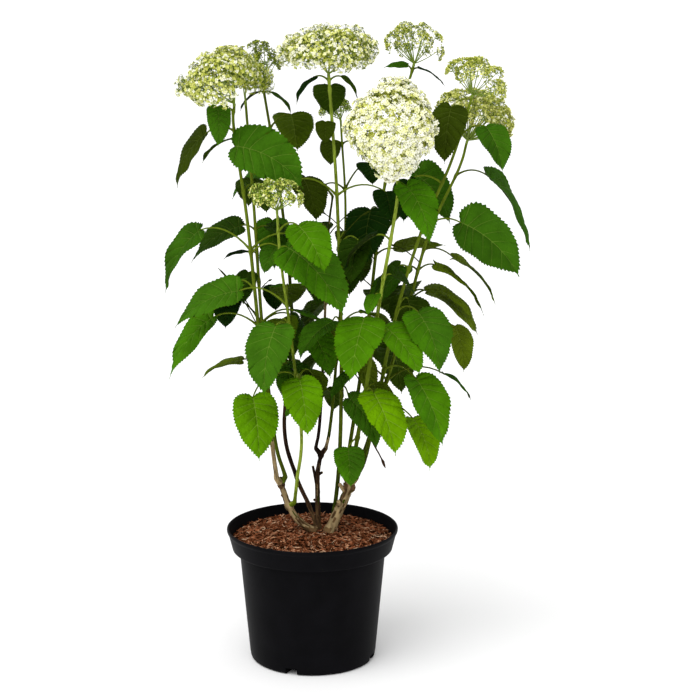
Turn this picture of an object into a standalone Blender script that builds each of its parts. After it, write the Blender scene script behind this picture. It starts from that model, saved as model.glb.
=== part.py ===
"""Potted annabelle smooth hydrangea: pot, soil, woody stems, leafy canes and flower heads.

Sizes are in millimetres and angles in degrees, and mesh_object turns them into metres.
A heading of 0 is +X, 90 is away from the viewer and 270 is towards the viewer. The plant
stands on the flat underside of its pot, whose centre is the origin.
"""

import math
import random
from collections import namedtuple

import bmesh
import bpy
import numpy as np
from mathutils.bvhtree import BVHTree

MM = 0.001
GAP = 0.3
LEAF_ROOM = 0.9
UP = np.array([0.0, 0.0, 1.0])
ASKEW = np.array([0.83, 0.52, 0.2])
GOLDEN_ANGLE = 180 * (3 - math.sqrt(5))

# Pot and soil
POT_HEIGHT = 204
RIM_RADIUS = 130
RIM_BAND = 33
BAND_FOOT_RADIUS = 121.5
BODY_TOP_RADIUS = 111
BASE_RADIUS = 95.5
FOOT_BEVEL = 5
WALL = 3
FLOOR = 11
NOTCHES = 4
NOTCH_WIDTH = 18
NOTCH_HEIGHT = 8
NOTCH_DEPTH = 5
FIRST_NOTCH_HEADING = 251
POT_SEGMENTS = 32
SOIL_EDGE_DEPTH = 15
SOIL_TOP = 197
SOIL_FLAT_RADIUS = 62

# Leaves
STALK_RADIUS = 1.2
MIDRIB_HALF = 0.85
BLADE_BEND = 24
BLADE_LIFT = 0.14
LOBE_SWEEP = 0.1
STALK_CREST = 0.35
BLADE_RINGS = (0.035, 0.16, 0.42, 0.72)
LEAF_ABOVE_SOIL = 12
PARTNER_BLADE = 0.88
PARTNER_SWAY = 8
PARTNER_DROOPS = (35, 60)
FILL_HEADINGS = (40, 140)
FILL_REACH = 34
FILL_BLADES = (74, 96)
FILL_DROOPS = (40, 58)
LEAF_SEED = 5
SMALLEST_BLADE = 34
DROOP_TRIES = (0, 8, -8, 16, -16, 26)
HEADING_TRIES = (0, 6, -6, 12, -12, 20, -20, 30, -30)
FREE_HEADING_TRIES = (0, 15, -15, 30, -30, 48, -48)
FREE_SIZES = (1, 0.82, 0.66)
FILL_SPACING = 105

STEM_SIDES = 8
KNOT_SIDES = 14
KNOT_BANDS = (-0.92, -0.7, -0.38, 0.0, 0.38, 0.7, 0.92)
SEAT_LENGTH = 7
NEAREST_RING = 4
CANE_SIDES = 7
LEAFY_SIDES = 5

# A stem rises from the soil and forks at its tip or its side, where a knot carries the canes.
Stem = namedtuple("Stem", "points foot_radius tip_radius knots")
Knot = namedtuple("Knot", "height radius")
STEMS = {
    "left_stem": Stem(
        ((4, -5, SOIL_TOP), (-20, -6, 214), (-36, -7, 240), (-47, -8, 272)),
        5.4, 4.2, {"side": Knot(238, 6.6), "tip": Knot(272, 6.2)},
    ),
    "centre_stem": Stem(
        ((9, 6, SOIL_TOP), (8, 5, 240), (8, 6, 285), (13, 8, 314)),
        4.2, 3.0, {"tip": Knot(314, 5.2)},
    ),
    "right_stem": Stem(
        ((25, -8, SOIL_TOP), (36, -5, 222), (48, -1, 246), (57, 2, 268)),
        8.2, 6.4, {"tip": Knot(268, 10)},
    ),
}

# A seat on a knot is the way from the knot's centre to the cane's foot.
Seat = namedtuple("Seat", "stem knot heading pitch")
Pair = namedtuple(
    "Pair", "height heading reach blade droop turn roll rise width partner",
    defaults=(0, 0, 0.3, 0.68, "opposite"),
)
Head = namedtuple("Head", "kind width depth height lean lean_heading")
Cane = namedtuple("Cane", "seat points foot_radius tip_radius pairs head")
ALONE = "alone"

CANES = {
    "left_front": Cane(
        Seat("left_stem", "tip", 215, 55),
        ((-60, -18, 342), (-77, -30, 513), (-92, -38, 678), (-109, -44, 808), (-108, -46, 843)),
        3.3, 2.1,
        (
            Pair(432, 250, 46, 98, 66, turn=36, rise=-0.25, width=0.7, partner=30),
            Pair(519, 187, 67, 116, 56, roll=-24, rise=0.22, width=0.42),
            Pair(628, 335, 44, 55, 43, turn=-95, partner=ALONE),
            Pair(633, 172, 75, 112, 62, roll=-34, rise=0.37, width=0.48),
            Pair(718, 60, 24, 62, 50, partner=ALONE),
            Pair(806, 170, 42, 94, 60, roll=-34, rise=-0.1, width=0.56, partner=ALONE),
            Pair(784, 258, 26, 120, 30, turn=88, roll=56, rise=0.1, width=0.68, partner=ALONE),
            Pair(833, 200, 34, 74, 70, turn=62, width=0.55, partner=ALONE),
        ),
        Head("dense", 154, 130, 84, 24, 182),
    ),
    "left_rear": Cane(
        Seat("left_stem", "tip", 35, 55),
        ((-57, 14, 340), (-75, 36, 502), (-87, 54, 687), (-98, 66, 837)),
        3.0, 2.0,
        (
            Pair(441, 180, 38, 69, 26, roll=-6, rise=0.4),
            Pair(511, 172, 50, 50, 65, turn=80, rise=0.75, width=0.9),
            Pair(574, 165, 16, 54, 64, turn=85, rise=0.8, width=0.62, partner=ALONE),
            Pair(615, 190, 8, 46, 12, width=0.4, partner=ALONE),
            Pair(650, 178, 22, 98, 38, roll=-30, width=0.55),
            Pair(713, 95, 30, 70, 45, partner=ALONE),
            Pair(776, 165, 30, 60, 40, width=0.4),
        ),
        Head("dense", 88, 76, 66, 6, 20),
    ),
    "inner_left": Cane(
        None,
        ((6, 22, SOIL_TOP), (-6, 28, 229), (-27, 42, 275), (-44, 64, 346), (-32, 92, 502),
         (-49, 122, 692), (-76, 154, 857)),
        3.4, 2.0,
        (
            Pair(430, 272, 30, 60, 65),
            Pair(495, 265, 12, 60, 60, partner=ALONE),
            Pair(552, 190, 23, 42, 68, turn=75, width=0.9),
            Pair(650, 240, 32, 84, 60, turn=30, width=0.62, partner=ALONE),
            Pair(722, 205, 24, 66, 42, roll=-20, width=0.7),
            Pair(795, 20, 34, 70, 62, turn=60, rise=0.6, width=0.88, partner=ALONE),
            Pair(848, 352, 8, 50, 45, width=0.4),
        ),
        Head("airy", 60, 60, 72, 8, 180),
    ),
    "front_shoot": Cane(
        Seat("left_stem", "side", 318, 35),
        ((-22, -28, 287), (-15, -44, 361), (-29, -72, 516), (-42, -92, 628), (-46, -104, 697)),
        2.7, 1.8,
        (
            Pair(442, 277, 50, 86, 68, turn=10, rise=0.28),
            Pair(522, 245, 45, 104, 72, turn=-6, width=0.78),
            Pair(560, 180, 68, 113, 30, roll=-26, width=0.55, partner=95),
            Pair(643, 334, 12, 130, 48, roll=30, partner=ALONE),
            Pair(668, 312, 44, 84, 50, roll=20, partner=ALONE),
        ),
        Head("airy", 80, 70, 46, 10, 250),
    ),
    "centre": Cane(
        Seat("centre_stem", "tip", 165, 50),
        ((11, 18, 359), (17, 40, 467), (24, 58, 637), (31, 64, 700)),
        2.6, 1.6,
        (
            Pair(400, 40, 25, 60, 50),
            Pair(490, 275, 40, 82, 50, turn=55),
            Pair(590, 60, 30, 80, 50),
            Pair(700, 178, 44, 74, 60, turn=122, rise=0.6, width=0.78, partner=ALONE),
        ),
        None,
    ),
    "centre_rear": Cane(
        Seat("centre_stem", "tip", 20, 50),
        ((27, 26, 354), (35, 48, 436), (50, 94, 652), (43, 118, 808)),
        2.6, 1.6,
        (
            Pair(450, 330, 30, 85, 66),
            Pair(600, 70, 30, 80, 50),
            Pair(705, 10, 34, 42, 52, turn=-80, rise=1.2, width=0.95),
            Pair(773, 172, 16, 40, 72, turn=85, width=0.85, partner=350),
        ),
        Head("airy", 50, 50, 34, 22, 180),
    ),
    "centre_front": Cane(
        None,
        ((27, 8, SOIL_TOP), (36, 6, 250), (42, 2, 331), (44, 0, 482), (38, 2, 703), (26, 4, 882)),
        3.3, 2.2,
        (
            Pair(417, 281, 60, 90, 61, turn=71, roll=76, rise=0, width=0.42, partner=ALONE),
            Pair(515, 250, 50, 84, 40, turn=-40),
            Pair(632, 300, 56, 70, 62, turn=-50),
            Pair(708, 345, 74, 50, 58, turn=-60, rise=0.1, width=0.9, partner=165),
            Pair(812, 220, 12, 36, 62, turn=45, width=0.8, partner=ALONE),
            Pair(862, 90, 14, 54, 62, width=0.9, partner=ALONE),
            Pair(874, 200, 22, 50, 55, width=0.5),
        ),
        Head("dense", 168, 150, 70, 4, 200),
    ),
    "right_front": Cane(
        Seat("right_stem", "tip", 265, 40),
        ((64, -30, 326), (80, -54, 429), (100, -78, 568), (121, -96, 695), (124, -98, 738), (117, -88, 782)),
        3.3, 2.2,
        (
            Pair(352, 225, 20, 62, 62, turn=50, rise=-0.6, width=0.74, partner=ALONE),
            Pair(425, 290, 34, 102, 61, turn=15, rise=0.2),
            Pair(535, 222, 24, 102, 58, turn=30, width=0.7, partner=ALONE),
            Pair(523, 318, 18, 92, 45, roll=15, partner=ALONE),
            Pair(572, 240, 15, 36, 50, partner=ALONE),
            Pair(600, 30, 12, 58, 40, roll=30, partner=ALONE),
            Pair(655, 170, 22, 74, 50, partner=ALONE),
            Pair(730, 328, 14, 96, 56, turn=-18, roll=10, width=0.58, partner=ALONE),
        ),
        Head("dense", 146, 172, 96, 50, 262),
    ),
    "right_rear": Cane(
        Seat("right_stem", "tip", 140, 50),
        ((58, 30, 331), (84, 66, 503), (107, 90, 697), (135, 106, 827), (153, 114, 892)),
        3.1, 2.0,
        (
            Pair(470, 70, 40, 90, 50, partner=ALONE),
            Pair(608, 12, 34, 80, -2, roll=10, rise=0.2, width=0.6, partner=190),
            Pair(668, 250, 45, 86, 70, width=0.8, partner=ALONE),
            Pair(718, 345, 44, 98, 56, roll=40, width=0.7, partner=ALONE),
            Pair(796, 190, 14, 48, 60, width=0.5, partner=ALONE),
            Pair(884, 185, 12, 56, 8, roll=-35, rise=1.0, width=0.42, partner=352),
        ),
        Head("airy", 98, 92, 64, 4, 90),
    ),
    "right_inner": Cane(
        Seat("right_stem", "tip", 330, 50),
        ((84, -10, 331), (123, -20, 527), (161, -26, 659), (203, -26, 760), (232, -26, 854)),
        3.2, 1.9,
        (
            Pair(398, 323, 66, 84, 60, turn=-12, rise=-0.2, width=0.62, partner=ALONE),
            Pair(450, 309, 72, 112, 59, rise=0, width=0.56),
            Pair(540, 298, 46, 100, 60, rise=0.1, width=0.76),
            Pair(604, 175, 14, 60, 50, roll=-20, width=0.6, partner=ALONE),
            Pair(662, 350, 56, 119, 44, roll=45, rise=0.2, width=0.78, partner=ALONE),
            Pair(729, 185, 50, 66, 68, turn=75, rise=0.1, width=0.6, partner=ALONE),
            Pair(796, 350, 38, 74, 64, turn=-38, roll=10, rise=0.4, partner=ALONE),
            Pair(832, 205, 26, 88, 70, turn=45, width=0.62, partner=ALONE),
        ),
        Head("airy", 112, 96, 56, 14, 0),
    ),
    "right_outer": Cane(
        Seat("right_stem", "tip", 35, 50),
        ((90, 22, 350), (138, 44, 507), (174, 60, 638), (220, 70, 740), (232, 74, 780)),
        3.2, 2.0,
        (
            Pair(424, 5, 86, 63, 45, rise=0.1, width=0.25),
            Pair(484, 345, 86, 74, 64, turn=-50, width=0.55),
            Pair(545, 355, 46, 66, 42, roll=10, width=0.45, partner=ALONE),
            Pair(556, 345, 24, 106, 42, roll=14, rise=0),
            Pair(588, 0, 28, 110, 47, roll=12, width=0.28),
            Pair(620, 5, 46, 101, 49, roll=10, rise=-0.3, width=0.4, partner=ALONE),
            Pair(730, 5, 48, 140, 60, roll=14, rise=0, width=0.58, partner=ALONE),
        ),
        Head("airy", 150, 116, 82, 26, 0),
    ),
}

# Each paint is a colour and a roughness.
POT_BLACK = ((0.012, 0.012, 0.014), 0.55)
SOIL_BROWN = ((0.09, 0.04, 0.022), 0.95)
BARK_BROWN = ((0.16, 0.11, 0.06), 0.85)
LEAF_GREEN = ((0.07, 0.19, 0.02), 0.5)
CREAM = ((0.72, 0.76, 0.42), 0.7)
LIME = ((0.42, 0.52, 0.16), 0.7)

Shape = namedtuple("Shape", "points faces")


def way(heading, pitch=0.0):
    """The unit vector of a heading and a pitch above the horizontal."""
    turn, rise = math.radians(heading), math.radians(pitch)
    return np.array([math.cos(turn) * math.cos(rise), math.sin(turn) * math.cos(rise), math.sin(rise)])


def unit(vector):
    return vector / np.linalg.norm(vector)


def turned(vector, axis, angle):
    """The vector turned about a unit axis."""
    c, s = math.cos(math.radians(angle)), math.sin(math.radians(angle))
    return vector * c + np.cross(axis, vector) * s + axis * np.dot(axis, vector) * (1 - c)


def smooth_line(points, steps=3):
    """Points along a smooth curve that passes through the given ones."""
    given = np.array(points, float)
    knots = np.vstack([2 * given[0] - given[1], given, 2 * given[-1] - given[-2]])
    t = np.linspace(0, 1, steps, endpoint=False)[:, None]
    line = []
    for a, b, c, d in zip(knots, knots[1:], knots[2:], knots[3:]):
        square, cube = 2 * a - 5 * b + 4 * c - d, 3 * b - a - 3 * c + d
        line.append(0.5 * (2 * b + (c - a) * t + square * t**2 + cube * t**3))
    return np.vstack(line + [given[-1:]])


def at_height(line, height):
    return np.array([np.interp(height, line[:, 2], line[:, axis]) for axis in range(3)])


def between_heights(line, low, high):
    inside = line[(line[:, 2] > low + NEAREST_RING) & (line[:, 2] < high - NEAREST_RING)]
    return np.vstack([at_height(line, low), inside, at_height(line, high)])


def tangents(line):
    return np.array([unit(step) for step in np.gradient(line, axis=0)])


def loft(rings, tip=None):
    """A closed shape through rings of points, ending in a flat cap or in a tip."""
    count = len(rings[0])
    points = [point for ring in rings for point in ring]
    faces = [tuple(range(count))[::-1]]
    for first in range(0, (len(rings) - 1) * count, count):
        for k in range(count):
            a, b = first + k, first + (k + 1) % count
            faces += [(a, b, b + count), (a, b + count, a + count)]
    last = (len(rings) - 1) * count
    if tip is None:
        faces.append(tuple(range(last, last + count)))
    else:
        points.append(tip)
        faces += [(last + k, last + (k + 1) % count, len(points) - 1) for k in range(count)]
    return Shape(np.array(points), faces)


def tube(line, radii, sides):
    """A closed tube along a line, with flat ends square to it."""
    ahead = tangents(line)
    side = np.cross(ahead[0], ASKEW)
    rings = []
    for point, tangent, radius in zip(line, ahead, radii):
        side = unit(side - tangent * np.dot(side, tangent))
        across = np.cross(tangent, side)
        angles = np.arange(sides) * 2 * math.pi / sides
        rings.append([point + radius * (side * math.cos(a) + across * math.sin(a)) for a in angles])
    return loft(rings)


def ball(centre, radius, axis, around, bands, squash=1.0, turn=0.0):
    """A faceted ball or cushion, with a ring at each band between its two poles."""
    side = turned(unit(np.cross(axis, ASKEW)), axis, turn)
    across = np.cross(axis, side)
    angles = np.arange(around) * 2 * math.pi / around
    rings = []
    for band in bands:
        flat = radius * math.sqrt(1 - band * band)
        middle = centre + axis * band * radius * squash
        rings.append([middle + flat * (side * math.cos(a) + across * math.sin(a)) for a in angles])
    shape = loft(rings, tip=centre + axis * radius * squash)
    cap, skin = shape.faces[0], shape.faces[1:]
    low_pole = len(shape.points)
    bottom = [(cap[k], cap[(k + 1) % around], low_pole) for k in range(around)]
    return Shape(np.vstack([shape.points, centre - axis * radius * squash]), bottom + skin)


# Leaves

Leaf = namedtuple("Leaf", "node heading reach blade droop turn roll rise width")


def half_width(u):
    """The outline of a heart-shaped leaf with a drawn-out tip, 1 at its widest."""
    return (1 - u) ** 1.15 * (1 + 2.2 * u) * (1 - np.exp(-u / 0.04)) / 1.12


def leaf_stalk(leaf):
    """Three points of the stalk, which rises from the cane and arches over."""
    out = way(leaf.heading)
    crest = leaf.node + out * leaf.reach * 0.5 + UP * leaf.reach * (STALK_CREST + 0.6 * leaf.rise)
    end = leaf.node + out * leaf.reach + UP * leaf.reach * leaf.rise
    middle = 0.25 * leaf.node + 0.5 * crest + 0.25 * end
    return leaf.node + out * 0.5, middle, end


def blade_frame(leaf, start, u):
    """A point on the midrib, with the way ahead, the left side and the upper side there."""
    heading = leaf.heading + leaf.turn
    point = np.array(start)
    steps = 8
    for k in range(steps):
        pitch = -(leaf.droop + BLADE_BEND * (2 * u * (k + 0.5) / steps - 1))
        point = point + way(heading, pitch) * leaf.blade * u / steps
    ahead = way(heading, -(leaf.droop + BLADE_BEND * (2 * u - 1)))
    left = turned(np.cross(UP, way(heading)), ahead, leaf.roll)
    return point, ahead, left, np.cross(ahead, left)


def leaf_shape(leaf, room=0.0, outer=False):
    """A coarse closed leaf on its stalk. Room makes it fatter, and outer leaves out the stalk's root."""
    stalk = np.array(leaf_stalk(leaf))
    if outer:
        stalk = stalk[1:]
    rings = []
    for point, ahead in zip(stalk, tangents(stalk)):
        left = unit(np.cross(UP, ahead))
        above = np.cross(ahead, left)
        size = STALK_RADIUS + room
        rings.append([point + left * size, point + above * size, point - left * size, point - above * size])
    for u in BLADE_RINGS:
        point, ahead, left, above = blade_frame(leaf, stalk[-1], u)
        wide = half_width(u) * leaf.blade * leaf.width / 2
        edge = point - ahead * LOBE_SWEEP * leaf.blade * (1 - u) ** 3 + above * BLADE_LIFT * wide
        thick = MIDRIB_HALF + room
        wide += room
        rings.append([edge + left * wide, point + above * thick, edge - left * wide, point - above * thick])
    point, ahead, left, above = blade_frame(leaf, stalk[-1], 1)
    return loft(rings, tip=point + ahead * room)


def tree_of(shape):
    return BVHTree.FromPolygons([tuple(p) for p in shape.points], shape.faces)


class Space:
    """What is already placed, each with the name of the node that it belongs to."""

    def __init__(self):
        self.taken = []

    def add(self, owner, shape):
        self.taken.append((owner, tree_of(shape), shape.points.min(0), shape.points.max(0)))

    def is_free(self, owner, leaf):
        whole = leaf_shape(leaf, LEAF_ROOM)
        outer = tree_of(leaf_shape(leaf, LEAF_ROOM, outer=True))
        whole_tree = tree_of(whole)
        low, high = whole.points.min(0), whole.points.max(0)
        if low[2] < SOIL_TOP + LEAF_ABOVE_SOIL:
            return False
        for other, tree, other_low, other_high in self.taken:
            if (low > other_high).any() or (high < other_low).any():
                continue
            if (outer if other == owner else whole_tree).overlap(tree):
                return False
        return True

    def settle(self, owner, leaf, headings, sizes=(1,)):
        """The leaf turned as little as it takes to hang free, or None."""
        for size in sizes:
            for droop in DROOP_TRIES:
                for heading in headings:
                    tried = leaf._replace(
                        heading=leaf.heading + heading, droop=leaf.droop + droop,
                        blade=leaf.blade * size, reach=leaf.reach * size,
                    )
                    if tried.blade >= SMALLEST_BLADE and self.is_free(owner, tried):
                        self.add(owner, leaf_shape(tried))
                        return tried
        return None


# Canes

def stem_line(stem):
    return smooth_line(stem.points)


def cane_line(cane):
    """The cane's line from its foot on the soil or on a knot, square to what carries it."""
    if cane.seat is None:
        return smooth_line([cane.points[0] + UP * GAP, *cane.points[1:]])
    knot = STEMS[cane.seat.stem].knots[cane.seat.knot]
    centre = at_height(stem_line(STEMS[cane.seat.stem]), knot.height)
    out = way(cane.seat.heading, cane.seat.pitch)
    foot = centre + out * (knot.radius + GAP)
    return np.vstack([foot, smooth_line([foot + out * SEAT_LENGTH, *cane.points])])


def cane_radii(cane, line, whole):
    share = (line[:, 2] - whole[0, 2]) / (whole[-1, 2] - whole[0, 2])
    return cane.foot_radius + (cane.tip_radius - cane.foot_radius) * share


def leafy_start(cane):
    return min(pair.height for pair in cane.pairs) - 9


def listed_leaf(pair, line):
    return Leaf(at_height(line, pair.height), pair.heading, pair.reach, pair.blade, pair.droop,
                pair.turn, pair.roll, pair.rise, pair.width)


def partner_leaf(pair, line, chance):
    """The leaf on the other side of the cane, a little smaller."""
    leaf = listed_leaf(pair, line)
    heading = pair.heading + 180 if pair.partner == "opposite" else pair.partner
    return leaf._replace(
        heading=heading + chance.uniform(-PARTNER_SWAY, PARTNER_SWAY), reach=leaf.reach * 0.9,
        blade=leaf.blade * PARTNER_BLADE, droop=min(max(leaf.droop, PARTNER_DROOPS[0]), PARTNER_DROOPS[1]),
        turn=0, roll=0, rise=0.3, width=max(leaf.width, 0.5),
    )


def fill_leaves(cane, line, chance):
    """A leaf towards the back wherever the listed pairs leave a long bare stretch."""
    heights = sorted(pair.height for pair in cane.pairs)
    for low, high in zip(heights, heights[1:]):
        if high - low > FILL_SPACING:
            yield Leaf(at_height(line, (low + high) / 2), chance.uniform(*FILL_HEADINGS), FILL_REACH,
                       chance.uniform(*FILL_BLADES), chance.uniform(*FILL_DROOPS), 0, 0, 0.3, 0.7)


def grow_leaves(space, lines):
    """The leaves of every cane: the listed ones first, then their partners, then the fill."""
    chance = random.Random(LEAF_SEED)
    grown = {name: [] for name in CANES}
    for name, cane in CANES.items():
        for pair in cane.pairs:
            grown[name].append(space.settle(name, listed_leaf(pair, lines[name]), HEADING_TRIES, FREE_SIZES))
    for name, cane in CANES.items():
        for pair in cane.pairs:
            if pair.partner != ALONE:
                leaf = partner_leaf(pair, lines[name], chance)
                grown[name].append(space.settle(name, leaf, FREE_HEADING_TRIES, FREE_SIZES))
    for name, cane in CANES.items():
        for leaf in fill_leaves(cane, lines[name], chance):
            grown[name].append(space.settle(name, leaf, FREE_HEADING_TRIES, FREE_SIZES))
    return {name: [leaf for leaf in leaves if leaf] for name, leaves in grown.items()}


# Flower heads

HEAD_SEED = 5
DOME = ((0.62, 0.22), (0.92, 0.38), (1.0, 0.52), (0.86, 0.78), (0.5, 0.95))
BELOW_RIM = 0.2
CORE_SHARE = 0.9
FLORET_SHARE = 0.84
FLORET_SPACING = 37
FLORET_RADII = (16, 20)
FLORET_SQUASH = 0.62
CLUSTER_SHARE = 0.84
CLUSTER_SPACING = 36
CLUSTER_RADII = (12.5, 15.5)
CLUSTER_SQUASH = 0.5
RAY_RADII = (1.2, 1.0, 0.9)
HUB_RISE = 6


def head_frame(cane, line):
    """The hub at the cane's tip, the cane's way there, and the head's own axis, width and depth."""
    ahead = tangents(line)[-1]
    side = np.cross(UP, way(cane.head.lean_heading))
    axis = turned(UP, side, cane.head.lean)
    return line[-1] + ahead * GAP, ahead, axis, side, np.cross(axis, side)


def head_shell(cane, line, share=1.0, around=9):
    """The closed dome that holds the head, from its hub to its top."""
    hub, ahead, axis, side, across = head_frame(cane, line)
    head = cane.head
    angles = np.arange(around) * 2 * math.pi / around
    foot_side = unit(side - ahead * np.dot(side, ahead))
    foot_across = np.cross(ahead, foot_side)
    rings = [[hub + cane.tip_radius * (foot_side * math.cos(a) + foot_across * math.sin(a)) for a in angles]]
    for radius, height in DOME:
        centre = hub + axis * head.height * (0.5 + (height - 0.5) * share)
        wide, deep = head.width / 2 * radius * share, head.depth / 2 * radius * share
        rings.append([centre + wide * side * math.cos(a) + deep * across * math.sin(a) for a in angles])
    return loft(rings, tip=hub + axis * head.height * (0.5 + 0.5 * share))


def dome_points(cane, line, spacing, share):
    """Points spread evenly over the upper side of the dome, each with the way out."""
    hub, ahead, axis, side, across = head_frame(cane, line)
    head = cane.head
    wide, deep, rise = head.width / 2 * share, head.depth / 2 * share, head.height * 0.5 * share
    middle = hub + axis * head.height * 0.5
    area = math.pi * (wide + deep) / 2 * ((wide + deep) / 2 + rise)
    count = round(area / spacing**2)
    for k in range(count):
        height = 1 - (1 + BELOW_RIM) * (k + 0.5) / count
        angle = math.radians(k * GOLDEN_ANGLE)
        reach = math.sqrt(max(0, 1 - height * height))
        flat = side * math.cos(angle) * wide + across * math.sin(angle) * deep
        point = middle + flat * reach + axis * height * rise
        yield point, unit(flat * reach / wide**2 + axis * height / rise)


def cushion(point, out, chance, radii, squash):
    """A flattened five-sided bunch of florets or buds."""
    return ball(point, chance.uniform(*radii), out, 5, (0.0,), squash, chance.uniform(0, 72))


def dense_head(cane, line, chance):
    """A full dome with florets that stand out of it."""
    parts = [head_shell(cane, line, CORE_SHARE)]
    for point, out in dome_points(cane, line, FLORET_SPACING, FLORET_SHARE):
        parts.append(cushion(point, out, chance, FLORET_RADII, FLORET_SQUASH))
    return parts


def airy_head(cane, line, chance):
    """Rays that part at the hub, each with a cluster of buds at its end."""
    hub, ahead, axis, side, across = head_frame(cane, line)
    fork = hub + unit(ahead + axis) * HUB_RISE
    stalk = np.array([hub, hub + ahead * HUB_RISE / 3, fork + axis * HUB_RISE / 3])
    parts = [tube(stalk, (cane.tip_radius,) * 3, STEM_SIDES)]
    for point, out in dome_points(cane, line, CLUSTER_SPACING, CLUSTER_SHARE):
        bend = fork + (point - fork) * 0.55 - axis * 0.1 * np.linalg.norm(point - fork)
        parts.append(tube(np.array([fork - axis, bend, point]), RAY_RADII, 3))
        parts.append(cushion(point, out, chance, CLUSTER_RADII, CLUSTER_SQUASH))
    return parts


# Meshes

def material(name, colour_and_roughness):
    colour, roughness = colour_and_roughness
    made = bpy.data.materials.new(name)
    made.use_nodes = True
    shader = made.node_tree.nodes["Principled BSDF"]
    shader.inputs["Base Color"].default_value = (*colour, 1)
    shader.inputs["Roughness"].default_value = roughness
    return made


def mesh_object(name, shape):
    mesh = bpy.data.meshes.new(name)
    mesh.from_pydata([tuple(p * MM) for p in shape.points], [], shape.faces)
    made = bpy.data.objects.new(name, mesh)
    bpy.context.scene.collection.objects.link(made)
    return made


def keep_outer_skin(mesh):
    """Drops the scraps and sealed hollows that a union leaves, and keeps the largest skin."""
    work = bmesh.new()
    work.from_mesh(mesh)
    bmesh.ops.triangulate(work, faces=work.faces[:])
    left = set(work.faces)
    skins = []
    while left:
        skin, front = set(), {left.pop()}
        while front:
            face = front.pop()
            skin.add(face)
            near = {other for edge in face.edges for other in edge.link_faces} & left
            left -= near
            front |= near
        skins.append(skin)
    largest = max(skins, key=lambda skin: sum(face.calc_area() for face in skin))
    loose = [face for skin in skins if skin is not largest for face in skin]
    bmesh.ops.delete(work, geom=loose, context="FACES")
    work.to_mesh(mesh)
    work.free()


def fuse(name, parts):
    """One solid from overlapping shapes: a Boolean union on a collection, applied."""
    base = mesh_object(name, parts[0])
    others = bpy.data.collections.new(name + "_parts")
    bpy.context.scene.collection.children.link(others)
    for index, part in enumerate(parts[1:]):
        other = mesh_object(f"{name}_{index}", part)
        bpy.context.scene.collection.objects.unlink(other)
        others.objects.link(other)
    union = base.modifiers.new("union", "BOOLEAN")
    union.operation = "UNION"
    union.operand_type = "COLLECTION"
    union.collection = others
    union.solver = "MANIFOLD"
    graph = bpy.context.evaluated_depsgraph_get()
    joined = bpy.data.meshes.new_from_object(base.evaluated_get(graph))
    base.modifiers.clear()
    base.data = joined
    for other in list(others.objects):
        bpy.data.objects.remove(other)
    bpy.data.collections.remove(others)
    keep_outer_skin(joined)
    return base


def finish(made, paint, sharp=60):
    made.data.materials.clear()
    made.data.materials.append(paint)
    made.data.shade_smooth()
    made.data.set_sharp_from_angle(angle=math.radians(sharp))
    return made


def turned_solid(name, profile):
    """A profile of (radius, height) from the axis round to the axis, spun about Z."""
    work = bmesh.new()
    corners = [work.verts.new((radius * MM, 0, height * MM)) for radius, height in profile]
    edges = [work.edges.new(ends) for ends in zip(corners, corners[1:])]
    bmesh.ops.spin(work, geom=corners + edges, axis=(0, 0, 1), cent=(0, 0, 0), steps=POT_SEGMENTS,
                   angle=2 * math.pi, use_merge=True)
    bmesh.ops.remove_doubles(work, verts=work.verts[:], dist=0.00005)
    bmesh.ops.recalc_face_normals(work, faces=work.faces[:])
    mesh = bpy.data.meshes.new(name)
    work.to_mesh(mesh)
    work.free()
    made = bpy.data.objects.new(name, mesh)
    bpy.context.scene.collection.objects.link(made)
    return made


def wall_radius(height):
    """The inner radius of the pot's body and rim at a height."""
    band_foot = POT_HEIGHT - RIM_BAND
    if height <= band_foot:
        outer = BASE_RADIUS + (BODY_TOP_RADIUS - BASE_RADIUS) * height / band_foot
    else:
        outer = BAND_FOOT_RADIUS + (RIM_RADIUS - BAND_FOOT_RADIUS) * (height - band_foot) / RIM_BAND
    return outer - WALL


def make_pot():
    """A round tapering pot with a rim band, and notches cut in its foot."""
    band_foot = POT_HEIGHT - RIM_BAND
    profile = [
        (0, 0), (BASE_RADIUS - FOOT_BEVEL, 0),
        (BASE_RADIUS - 1, FOOT_BEVEL * 0.5), (BASE_RADIUS, FOOT_BEVEL * 1.6),
        (BODY_TOP_RADIUS, band_foot - 2), (BAND_FOOT_RADIUS - 1, band_foot),
        (BAND_FOOT_RADIUS, band_foot + 2), (RIM_RADIUS - 1.2, POT_HEIGHT - 5),
        (RIM_RADIUS, POT_HEIGHT - 3), (RIM_RADIUS - 0.8, POT_HEIGHT),
        (RIM_RADIUS - 2.2, POT_HEIGHT), (RIM_RADIUS - 3.6, POT_HEIGHT - 5),
        (wall_radius(band_foot + 8), band_foot + 8), (wall_radius(band_foot), band_foot),
        (wall_radius(FLOOR), FLOOR), (0, FLOOR),
    ]
    pot = turned_solid("pot", profile)
    for index in range(NOTCHES):
        heading = FIRST_NOTCH_HEADING + index * 360 / NOTCHES
        bpy.ops.mesh.primitive_cube_add(size=1)
        cutter = bpy.context.object
        cutter.name = f"notch_cutter_{index + 1}"
        cutter.scale = (2 * NOTCH_DEPTH * MM, NOTCH_WIDTH * MM, 2 * NOTCH_HEIGHT * MM)
        cutter.location = way(heading) * BASE_RADIUS * MM
        cutter.rotation_euler = (0, 0, math.radians(heading))
        cutter.hide_render = True
        cutter.display_type = "WIRE"
        cut = pot.modifiers.new(f"notch_{index + 1}", "BOOLEAN")
        cut.operation = "DIFFERENCE"
        cut.object = cutter
    return finish(pot, material("pot_black", POT_BLACK), 30)


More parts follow.
